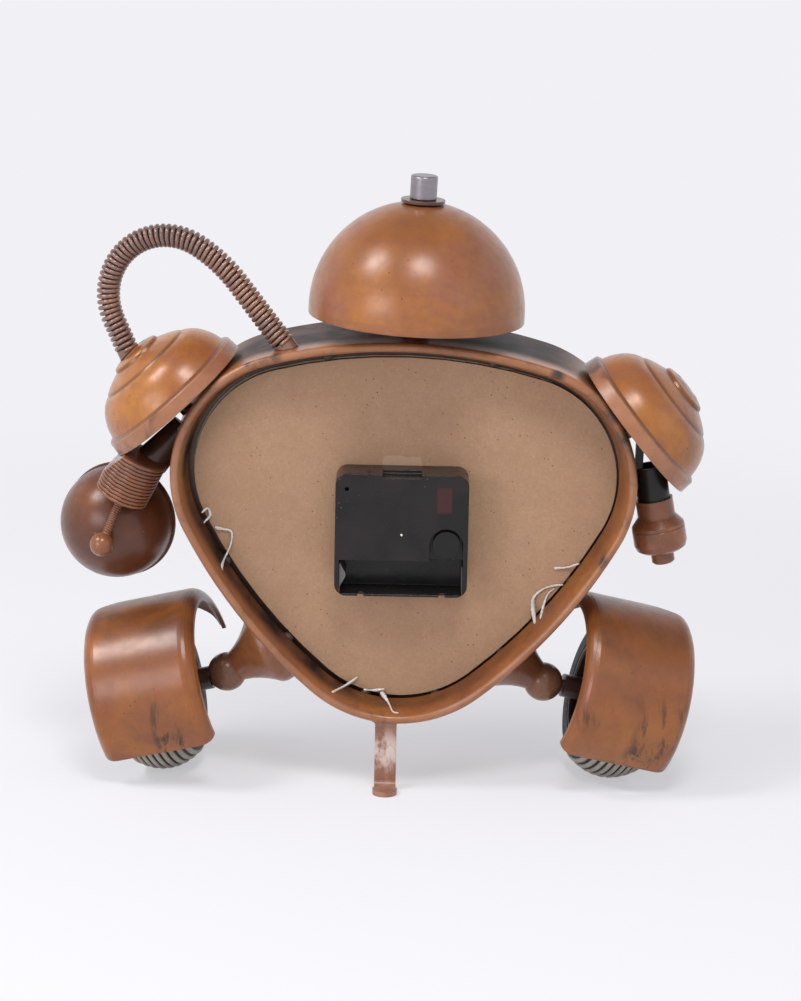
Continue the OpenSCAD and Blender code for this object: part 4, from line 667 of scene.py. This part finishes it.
LOOK = {
    "shell": ["body_shell"],
    "head": ["head_dome"],
    "left_dome": ["left_shoulder"],
    "right_dome": ["right_shoulder"],
    "left_fender": ["left_fender"],
    "right_fender": ["right_fender"],
    "bowl": ["left_bowl"],
    "barrel": ["right_barrel"],
    "cone": ["left_ribbed_cone", "left_threaded_rod"],
    "bead": ["leg_beads"],
    "flare": ["leg_flares"],
    "prop": ["prop_stand"],
    "brown": ["finial_washer", "dial_ledge", "glass_ring", "head_stud", "axle_nuts"],
    "dark": ["left_upper_arm", "left_hub", "right_hub", "left_axle", "right_axle", "fender_stays"],
    "finial": ["finial"],
    "black": ["right_arm_bar", "right_sleeve"],
    "plastic": ["movement_base", "setting_knob"],
    "case": ["movement_cover"],
    "board": ["back_board"],
    "glass": ["glass_pane"],
    "dial": ["dial_plate"],
    "glue_painted_shade": ["glue_pads"],
    "hose": ["hose_wire", "hose_collars"],
    "rubber": ["hose_core", "case_gasket"],
    "left_tyre": ["left_tyre"],
    "right_tyre": ["right_tyre"],
    "brass": ["threaded_bushing", "bushing_washer", "bushing_nut", "hand_nut"],
    "zinc": ["shoulder_studs"],
    "acetal": ["middle_plate", "hour_wheel", "minute_arbor", "minute_wheel", "centre_wheel", "third_wheel",
               "second_wheel", "intermediate_wheel", "rotor"],
    "plated": ["stator", "battery_contacts"],
    "winding": ["coil"],
    "pcb": ["circuit_board"],
    "hands": ["hour_hand", "minute_hand"],
}

for look, names in LOOK.items():
    for name in names:
        mesh = NODES[name].data
        mesh.materials.clear()
        mesh.materials.append(MATERIALS[look])


# Pieces of the scene
def piece(name, mesh, look, replaced=(), body="clock_body"):
    """A finished piece that rides on a body and may stand for nodes of the part."""
    obj = bpy.data.objects.new(name, mesh)
    bpy.context.scene.collection.objects.link(obj)
    mesh.materials.append(MATERIALS[look])
    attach(obj, body)
    if replaced:
        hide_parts(*replaced)
    return obj


def made_mesh(name, bm):
    """The mesh of a form that is ready."""
    mesh = bpy.data.meshes.new(name)
    bm.to_mesh(mesh)
    bm.free()
    return mesh


def smooth_mesh(name, bm, crisp=None):
    """A smooth mesh with its normals outward, and with edges sharp above an angle in degrees."""
    bmesh.ops.recalc_face_normals(bm, faces=bm.faces)
    for face in bm.faces:
        face.smooth = True
    mesh = made_mesh(name, bm)
    if crisp is not None:
        mesh.set_sharp_from_angle(angle=math.radians(crisp))
    return mesh


def tube(name, rings):
    """A closed tube through rings of points, with its ends filled."""
    bm = bmesh.new()
    rows = [[bm.verts.new(p) for p in ring] for ring in rings]
    sides = len(rows[0])
    for a, b in zip(rows, rows[1:]):
        for k in range(sides):
            j = (k + 1) % sides
            bm.faces.new((a[k], a[j], b[j], b[k]))
    bm.faces.new(reversed(rows[0]))
    bm.faces.new(rows[-1])
    return smooth_mesh(name, bm)


def ring(place, direction, out, radius, sides):
    """A ring of points about a direction, from the one that lies towards out."""
    side = direction.cross(out).normalized()
    out = side.cross(direction).normalized()
    turns = [2 * math.pi * k / sides for k in range(sides)]
    return [place + radius * (math.cos(a) * out + math.sin(a) * side) for a in turns]


def bend_step(radius, start, end):
    """The step along an arc from one heading to another, in degrees."""
    a = math.radians(start)
    b = math.radians(end)
    return Vector((radius * (math.sin(b) - math.sin(a)), radius * (math.cos(a) - math.cos(b))))


def hose_flat(s):
    """Place in the hose's plane, in millimetres, and heading, in degrees, at a length along it."""
    first, turn, last = HOSE_ANGLES
    tight = HOSE_BEND * math.radians(turn - first)
    wide = HOSE_WIDE_BEND * math.radians(last - turn)
    a = math.radians(first)
    p1 = HOSE_RISE * Vector((math.cos(a), math.sin(a)))
    p2 = p1 + bend_step(HOSE_BEND, first, turn)
    p3 = p2 + bend_step(HOSE_WIDE_BEND, turn, last)
    if s <= HOSE_RISE:
        return s * Vector((math.cos(a), math.sin(a))), first
    if s <= HOSE_RISE + tight:
        h = first + math.degrees((s - HOSE_RISE) / HOSE_BEND)
        return p1 + bend_step(HOSE_BEND, first, h), h
    if s <= HOSE_RISE + tight + wide:
        h = turn + math.degrees((s - HOSE_RISE - tight) / HOSE_WIDE_BEND)
        return p2 + bend_step(HOSE_WIDE_BEND, turn, h), h
    b = math.radians(last)
    return p3 + (s - HOSE_RISE - tight - wide) * Vector((math.cos(b), math.sin(b))), last


def hose_frame(s):
    """Place, direction and the plane's normal at a length along the hose, in the world."""
    t = math.radians(HOSE_TURN)
    flat, heading = hose_flat(s)
    h = math.radians(heading)
    across = Vector((math.cos(t), -math.sin(t), 0))
    base = Vector(HOSE_BASE)
    place = base + flat[0] * across + Vector((0, 0, flat[1]))
    direction = math.cos(h) * across + Vector((0, 0, math.sin(h)))
    normal = body_dir(math.sin(t), math.cos(t), 0)
    return body_point(*place), body_dir(*direction), normal


def hose_winding(turns=60, per_turn=22, wire=0.96, sides=10, start=-0.9, end=0.3):
    """One wire wound round the hose from end to end."""
    coil = (HOSE_R - wire) * MM
    length = HOSE_LEN - start + end
    count = turns * per_turn
    tiny = 0.00005

    def at(t):
        place, direction, normal = hose_frame(start + t * length)
        a = 2 * math.pi * turns * t
        out = math.cos(a) * normal + math.sin(a) * direction.cross(normal)
        return place + coil * out, out

    rings = []
    for k in range(count + 1):
        t = k / count
        place, out = at(t)
        step = at(t + tiny)[0] - at(t - tiny)[0]
        rings.append(ring(place, step.normalized(), out, wire * MM, sides))
    return tube("hose_winding", rings)


def hose_lining(radius=2.95, fold=0.12, gap=0.2, steps=90, sides=16):
    """The dark lining inside the winding, with shallow folds and a gap at each end."""
    rings = []
    for k in range(steps + 1):
        place, direction, normal = hose_frame(gap + (HOSE_LEN - 2 * gap) * k / steps)
        rings.append(ring(place, direction, normal, (radius + fold * (k % 2)) * MM, sides))
    return tube("hose_lining", rings)


def lathe(name, place, direction, outline, sides=96, crisp=24, cut=None):
    """A closed turned form: its outline of [radius, height] in millimetres starts and ends on the axis.

    What lies past the plane of a cut, given by a place and a direction, is taken away.
    """
    out = Vector((0, 1, 0)) if abs(direction.y) < 0.9 else Vector((1, 0, 0))
    bm = bmesh.new()
    rows = []
    for radius, height in outline:
        middle = place + direction * height * MM
        if radius < 0.001:
            rows.append([bm.verts.new(middle)])
        else:
            rows.append([bm.verts.new(p) for p in ring(middle, direction, out, radius * MM, sides)])
    for a, b in zip(rows, rows[1:]):
        for k in range(sides):
            j = (k + 1) % sides
            if len(a) == 1:
                bm.faces.new((a[0], b[j], b[k]))
            elif len(b) == 1:
                bm.faces.new((a[k], a[j], b[0]))
            else:
                bm.faces.new((a[k], a[j], b[j], b[k]))
    if cut is not None:
        parts = bm.verts[:] + bm.edges[:] + bm.faces[:]
        made = bmesh.ops.bisect_plane(bm, geom=parts, plane_co=cut[0], plane_no=cut[1], clear_outer=True)
        edges = [part for part in made["geom_cut"] if isinstance(part, bmesh.types.BMEdge)]
        bmesh.ops.contextual_create(bm, geom=edges)
    return smooth_mesh(name, bm, crisp)


def ball_outline(radius, neck, steps):
    """A ball from its neck round to its far pole: [radius, height above its middle]."""
    first = math.asin(neck / radius)
    turns = [first + (math.pi - first) * k / steps for k in range(steps)]
    return [(radius * math.sin(a), radius * math.cos(a)) for a in turns] + [(0.0, -radius)]


def shoulder_dome(side):
    """A shoulder's sheet, from the inside of its cap round the rim to the top of its cap."""
    place, direction = shoulder_frame(side)
    rim = [(r - SHOULDER_WALL, h) for r, h in SHOULDER_RIM[:2]]
    dome = [(r - SHOULDER_WALL, h - SHOULDER_WALL) for r, h in SHOULDER_DOME + SHOULDER_STEP]
    inside = rim + dome + [(0.0, SHOULDER_CEILING)]
    outside = SHOULDER_RIM + SHOULDER_DOME + SHOULDER_STEP + SHOULDER_CAP
    return lathe("shoulder_dome_%d" % (side + 1), place, direction, inside[::-1] + outside)


piece("left_shoulder_dome", shoulder_dome(1), "left_dome", ["left_shoulder"])
piece("right_shoulder_dome", shoulder_dome(-1), "right_dome", ["right_shoulder"])


def ribbed_drum(groove=0.85, steps=8, face=0.15, clear=0.2):
    """A drum of rounded ribs with dark grooves between them, a little narrower at its lower end."""
    top = body_point(*DRUM_TOP)
    end = body_point(*DRUM_END)
    wide, narrow = DRUM_R
    length = (end - top).length / MM
    outline = [(0.0, 0.0), (wide - 1.2, 0.0)]
    for k in range(DRUM_RIBS):
        for e in range(steps + 1):
            across = e / steps
            bulge = math.sqrt(max(0.0, 1 - (2 * across - 1) ** 2))
            t = (k + across) / DRUM_RIBS
            radius = wide + (narrow - wide) * t - groove + groove * bulge
            outline.append((radius, t * length + (CRACK if e == 0 else 0.0)))
    outline += [(narrow - 2.4, length + face), (0.0, length + face)]
    rim, up = shoulder_frame(1)
    cut = (rim - up * clear * MM, up)
    return lathe("ribbed_drum", top, (end - top).normalized(), outline, 96, 50, cut)


def rod_and_ball(threads=15, rod_r=1.85, ball_r=5.05):
    """A threaded rod from the drum's end to a small ball."""
    start = body_point(*ROD_START)
    ball = body_point(*ROD_BALL)
    length = (ball - start).length / MM
    neck = length - math.sqrt(ball_r ** 2 - rod_r ** 2)
    root = rod_r - 0.3
    thread = (0.0, 0.26, 0.36, 0.26)
    count = threads * len(thread)
    outline = [(0.0, 0.0)]
    outline += [(root + thread[k % len(thread)], neck * k / count + CRACK) for k in range(count)]
    outline += [(r, length - h) for r, h in ball_outline(ball_r, rod_r, 24)]
    return lathe("rod_and_ball", start, (ball - start).normalized(), outline, 48, 50)


piece("ribbed_drum", ribbed_drum(), "cone", ["left_ribbed_cone"])
piece("rod_and_ball", rod_and_ball(), "cone", ["left_threaded_rod"])


def leg_flare(side, narrow=6.2, wide=16.8, bell=1.9, reach=20.0, sink=0.3, sides=72, steps=14, halvings=24):
    """A trumpet from the bead to the body's side, cut off where it has sunk a little into the shell."""
    start = Vector(BEAD[side])
    arc_x, arc_z, arc_r = SIDE_ARC
    a = math.radians(FLARE_SLOPE)
    inward = Vector((-side * math.cos(a), 0, math.sin(a)))
    up = Vector((side * math.sin(a), 0, math.cos(a)))
    depth = Vector((0, 1, 0))

    def at(t, turn):
        radius = narrow + (wide - narrow) * min(t, 1.0) ** bell
        rim = math.cos(turn) * up + math.sin(turn) * depth
        return start + inward * t * reach + rim * radius

    def above_shell(p):
        return math.hypot(p[0] + side * arc_x, p[2] - arc_z) - arc_r

    bm = bmesh.new()
    columns = []
    for k in range(sides):
        turn = 2 * math.pi * k / sides
        low, high = 0.0, 2.5
        for _ in range(halvings):
            middle = (low + high) / 2
            if above_shell(at(middle, turn)) > -sink:
                low = middle
            else:
                high = middle
        columns.append([bm.verts.new(body_point(*at(low * j / steps, turn))) for j in range(steps + 1)])
    for k in range(sides):
        a, b = columns[k], columns[(k + 1) % sides]
        for j in range(steps):
            bm.faces.new((a[j], b[j], b[j + 1], a[j + 1]))
    bm.faces.new([column[0] for column in columns])
    bm.faces.new([column[-1] for column in reversed(columns)])
    return smooth_mesh("leg_flare_%d" % (side + 1), bm, 40)


def leg_bead(side, radius=8.4, neck=6.4, collar=0.9, bevel=0.5):
    """A turned bead with a small collar where the flare begins."""
    slope = math.radians(BEAD_SLOPE)
    inward = body_dir(-side * math.cos(slope), 0, math.sin(slope))
    ball = ball_outline(radius, neck, 32)
    top = radius + collar
    outline = [(0.0, top), (neck - bevel, top), (neck, top - bevel), (neck, ball[0][1] + 0.2)] + ball[1:]
    return lathe("leg_bead_%d" % (side + 1), body_point(*BEAD[side]), inward, outline, 64, 35)


piece("left_leg_bead", leg_bead(1), "bead", ["leg_beads"])
piece("right_leg_bead", leg_bead(-1), "bead", ["leg_beads"])
piece("left_leg_flare", leg_flare(1), "flare", ["leg_flares"])
piece("right_leg_flare", leg_flare(-1), "flare", ["leg_flares"])
piece("hose_winding", hose_winding(), "hose", ["hose_wire"])
piece("hose_lining", hose_lining(), "rubber", ["hose_core"])

# Strings of glue round the board: [x, y, z, radius] along each, in the leaning body
GLUE_STRINGS = [
    [(85.0, 10.8, 2.4, 0.5), (82.6, 8.6, 4.0, 0.45), (81.5, 8.1, 0.9, 0.7), (83.2, 9.4, -1.3, 0.4),
     (84.4, 10.4, -2.4, 0.3)],
    [(79.4, 8.2, -3.9, 0.35), (78.2, 8.0, -4.8, 0.9), (75.4, 8.0, -5.1, 0.5), (72.2, 8.1, -6.2, 0.55),
     (72.4, 8.8, -11.6, 0.4), (74.7, 11.6, -17.0, 0.45), (75.6, 16.4, -19.0, 0.75),
     (75.2, 19.0, -21.2, 0.2)],
    [(-58.4, 13.4, -40.0, 0.35), (-58.3, 11.4, -38.6, 0.8), (-57.5, 8.6, -34.4, 1.0),
     (-57.8, 8.1, -29.6, 0.7), (-62.2, 8.0, -25.6, 0.4), (-67.2, 8.2, -24.0, 0.45),
     (-70.0, 9.6, -23.4, 0.25)],
    [(-60.7, 14.0, -37.8, 0.5), (-61.8, 9.2, -33.8, 0.6), (-63.6, 8.0, -28.3, 0.35),
     (-66.4, 8.0, -25.4, 0.3)],
    [(-65.8, 8.0, -16.9, 0.3), (-66.6, 8.0, -16.5, 0.6), (-71.1, 8.3, -15.9, 0.4),
     (-76.2, 9.8, -13.6, 0.55)],
    [(27.2, 20.6, -72.3, 0.8), (25.0, 16.4, -72.2, 0.6), (21.8, 11.4, -71.8, 0.5), (18.6, 9.2, -70.2, 0.6),
     (16.2, 8.1, -68.4, 0.35)],
    [(13.4, 10.2, -73.4, 0.6), (10.8, 9.2, -73.9, 0.3), (8.0, 8.4, -74.0, 0.7), (4.2, 8.4, -73.4, 0.35)],
    [(6.0, 9.4, -74.4, 0.9), (4.6, 10.6, -75.8, 1.0), (2.3, 15.0, -77.8, 0.4), (0.6, 20.6, -79.4, 0.35),
     (-2.0, 21.6, -79.6, 0.3)],
]


def glue_string(index, line, steps=7, thin=0.15, wobble=0.18):
    """A string of glue on a smooth curve through its points, thicker at its drops and thin at its ends."""
    out = Vector((0.3, 1, 0.2)).normalized()
    points = [Vector(p) for p in line]
    points = [points[0] * 2 - points[1]] + points + [points[-1] * 2 - points[-2]]
    track = []
    for a, b, c, d in zip(points, points[1:], points[2:], points[3:]):
        for k in range(steps):
            t = k / steps
            track.append(0.5 * (2 * b + (c - a) * t + (2 * a - 5 * b + 4 * c - d) * t * t
                                + (3 * b - a - 3 * c + d) * t * t * t))
    track.append(points[-2])
    places = [body_point(p[0], p[1], p[2]) for p in track]
    rings = []
    for k, place in enumerate(places):
        ahead = places[min(k + 1, len(places) - 1)]
        behind = places[max(k - 1, 0)]
        share = min(k, len(places) - 1 - k) / 2
        radius = max(track[k][3], thin) * min(1.0, 0.35 + share)
        radius *= 1 + wobble * math.sin(2.3 * k + index)
        rings.append(ring(place, (ahead - behind).normalized(), out, radius * MM, 8))
    return tube("glue_string_%d" % index, rings)


for index, line in enumerate(GLUE_STRINGS, 1):
    piece("glue_string_%d" % index, glue_string(index, line), "glue")

# Marks on the dial: [inner radius, outer radius, half width], and how far they pass its front each way
HOUR_MARK = (56.5, 60.5, 0.6)
MINUTE_MARK = (58.7, 60.5, 0.22)
MARK_BACK = 0.05
MARK_FRONT = 0.1
BOX_FACES = ((0, 1, 2, 3), (7, 6, 5, 4), (0, 4, 5, 1), (1, 5, 6, 2), (2, 6, 7, 3), (3, 7, 4, 0))


def dial_marks():
    """A thin bar for each minute, longer and wider at the hours."""
    bm = bmesh.new()
    for k in range(60):
        a = math.radians(6 * k)
        inner, outer, half = MINUTE_MARK if k % 5 else HOUR_MARK
        corners = [(inner, -half), (inner, half), (outer, half), (outer, -half)]
        verts = []
        for y in (DIAL_FRONT + MARK_BACK, DIAL_FRONT - MARK_FRONT):
            for r, w in corners:
                x = r * math.sin(a) + w * math.cos(a)
                z = r * math.cos(a) - w * math.sin(a)
                verts.append(bm.verts.new(body_point(x, y, z)))
        for face in BOX_FACES:
            bm.faces.new([verts[i] for i in face])
    bmesh.ops.recalc_face_normals(bm, faces=bm.faces)
    return made_mesh("dial_marks", bm)


def dial_numbers(size=9.5, ring_r=49.0):
    """Plain hours 1 to 12, printed on the dial's front."""
    turn = Matrix.Rotation(-math.radians(LEAN), 4, "Y") @ Matrix.Rotation(math.radians(90), 4, "X")
    bm = bmesh.new()
    for hour in range(1, 13):
        a = math.radians(30 * hour)
        words = bpy.data.curves.new("number", "FONT")
        words.body = str(hour)
        words.size = size * MM
        words.align_x = "CENTER"
        words.align_y = "CENTER"
        words.extrude = 0.08 * MM
        obj = bpy.data.objects.new("number", words)
        bpy.context.scene.collection.objects.link(obj)
        bpy.context.view_layer.update()
        shape = bpy.data.meshes.new_from_object(obj.evaluated_get(bpy.context.evaluated_depsgraph_get()))
        place = body_point(ring_r * math.sin(a), DIAL_FRONT - 0.02, ring_r * math.cos(a))
        shape.transform(Matrix.Translation(place) @ turn)
        bm.from_mesh(shape)
        bpy.data.objects.remove(obj)
        bpy.data.curves.remove(words)
        bpy.data.meshes.remove(shape)
    return made_mesh("dial_numbers", bm)


piece("dial_marks", dial_marks(), "print")
piece("dial_numbers", dial_numbers(), "print")


# Floor, light and camera
def seen_rays(tree):
    """1 for the rays that show the background: the camera's, a gloss's and a glass's."""
    path = tree.nodes.new("ShaderNodeLightPath")
    total = path.outputs["Is Camera Ray"]
    for name in ("Is Glossy Ray", "Is Transmission Ray"):
        node = add_node(tree, "ShaderNodeMath", operation="ADD", use_clamp=True)
        tree.links.new(total, node.inputs[0])
        tree.links.new(path.outputs[name], node.inputs[1])
        total = node.outputs[0]
    return total


def lamp(name, place, size, power, colour=(1, 1, 1)):
    """A soft rectangular lamp, in metres and watts, that points at the object."""
    data = bpy.data.lights.new(name, "AREA")
    data.shape = "RECTANGLE"
    data.size, data.size_y = size
    data.energy = power
    data.color = colour
    obj = bpy.data.objects.new(name, data)
    bpy.context.scene.collection.objects.link(obj)
    obj.location = place
    obj.rotation_mode = "QUATERNION"
    obj.rotation_quaternion = (Vector(LAMP_AIM) - Vector(place)).to_track_quat("-Z", "Y")


def floor(near=0.3, far=0.75, haze=0.5, half=6):
    """A pale floor that turns into the plain background away from the object."""
    bm = bmesh.new()
    bmesh.ops.create_grid(bm, x_segments=1, y_segments=1, size=half)
    mesh = made_mesh("floor", bm)
    obj = bpy.data.objects.new("floor", mesh)
    bpy.context.scene.collection.objects.link(obj)
    s = Shader("pale_floor")
    s.set(Base_Color=(*srgb(240, 240, 243), 1), Roughness=0.85, Specular_IOR_Level=LOW_GLOSS)
    glow = s.new("ShaderNodeEmission")
    glow.inputs["Color"].default_value = (*srgb(*BACKGROUND), 1)
    away = s.spread(s.vector("DISTANCE", s.coord, (0, 0, 0), "Value"), near, far, haze, 1.0)
    blend = s.new("ShaderNodeMixShader")
    s.link(s.times(away, seen_rays(s.tree)), blend.inputs[0])
    s.link(s.bsdf.outputs[0], blend.inputs[1])
    s.link(glow.outputs[0], blend.inputs[2])
    s.link(blend.outputs[0], s.out.inputs[0])
    mesh.materials.append(s.mat)


def studio(ambient=0.47, ceiling=0.28, low=0.35, high=0.85):
    """A world that shows the background low down and a darker ceiling high up, and lights softly."""
    world = bpy.data.worlds.new("studio")
    bpy.context.scene.world = world
    world.use_nodes = True
    tree = world.node_tree
    shown = tree.nodes["Background"]
    coord = add_node(tree, "ShaderNodeTexCoord")
    split = add_node(tree, "ShaderNodeSeparateXYZ")
    tree.links.new(coord.outputs["Generated"], split.inputs[0])
    height = add_node(tree, "ShaderNodeMapRange", interpolation_type="SMOOTHSTEP")
    tree.links.new(split.outputs["Z"], height.inputs[0])
    height.inputs[1].default_value = low
    height.inputs[2].default_value = high
    pale = srgb(*BACKGROUND)
    sky = add_node(tree, "ShaderNodeMix", data_type="RGBA")
    tree.links.new(height.outputs[0], sky.inputs[0])
    sky.inputs[6].default_value = (*pale, 1)
    sky.inputs[7].default_value = (*[v * ceiling for v in pale], 1)
    mixer = add_node(tree, "ShaderNodeMix", data_type="RGBA")
    tree.links.new(seen_rays(tree), mixer.inputs[0])
    mixer.inputs[6].default_value = (ambient, ambient, ambient * 1.04, 1)
    tree.links.new(sky.outputs[2], mixer.inputs[7])
    tree.links.new(mixer.outputs[2], shown.inputs[0])
    shown.inputs[1].default_value = 1.0


def photo_camera():
    """The camera behind the object and a little above it."""
    camera = bpy.data.cameras.new("camera")
    camera.lens = LENS
    camera.sensor_width = SENSOR
    camera.clip_start = 0.05
    camera.clip_end = 30
    obj = bpy.data.objects.new("camera", camera)
    bpy.context.scene.collection.objects.link(obj)
    tilt = math.radians(TILT)
    roll = math.radians(ROLL)
    back = Vector((0, math.cos(tilt), math.sin(tilt)))
    right = (-back).cross(Vector((0, 0, 1))).normalized()
    up = right.cross(-back)
    image_right = right * math.cos(roll) + up * math.sin(roll)
    image_up = up * math.cos(roll) - right * math.sin(roll)
    turn = Matrix((image_right, image_up, back)).transposed()
    obj.matrix_world = Matrix.Translation(Vector(TARGET) + back * DISTANCE) @ turn.to_4x4()
    bpy.context.scene.camera = obj


floor()
studio()
lamp("key_left", (0.95, 0.35, 1.35), (0.46, 0.46), 10.5)
lamp("key_rear", (-0.12, 0.85, 1.5), (0.44, 0.44), 10)
lamp("low_left", (0.95, 1.15, 0.5), (0.7, 0.5), 4.8, (0.95, 0.93, 1.0))
lamp("fill_right", (-1.2, 0.7, 0.7), (0.7, 0.7), 0.7)
photo_camera()
bpy.context.scene.view_settings.view_transform = "Standard"
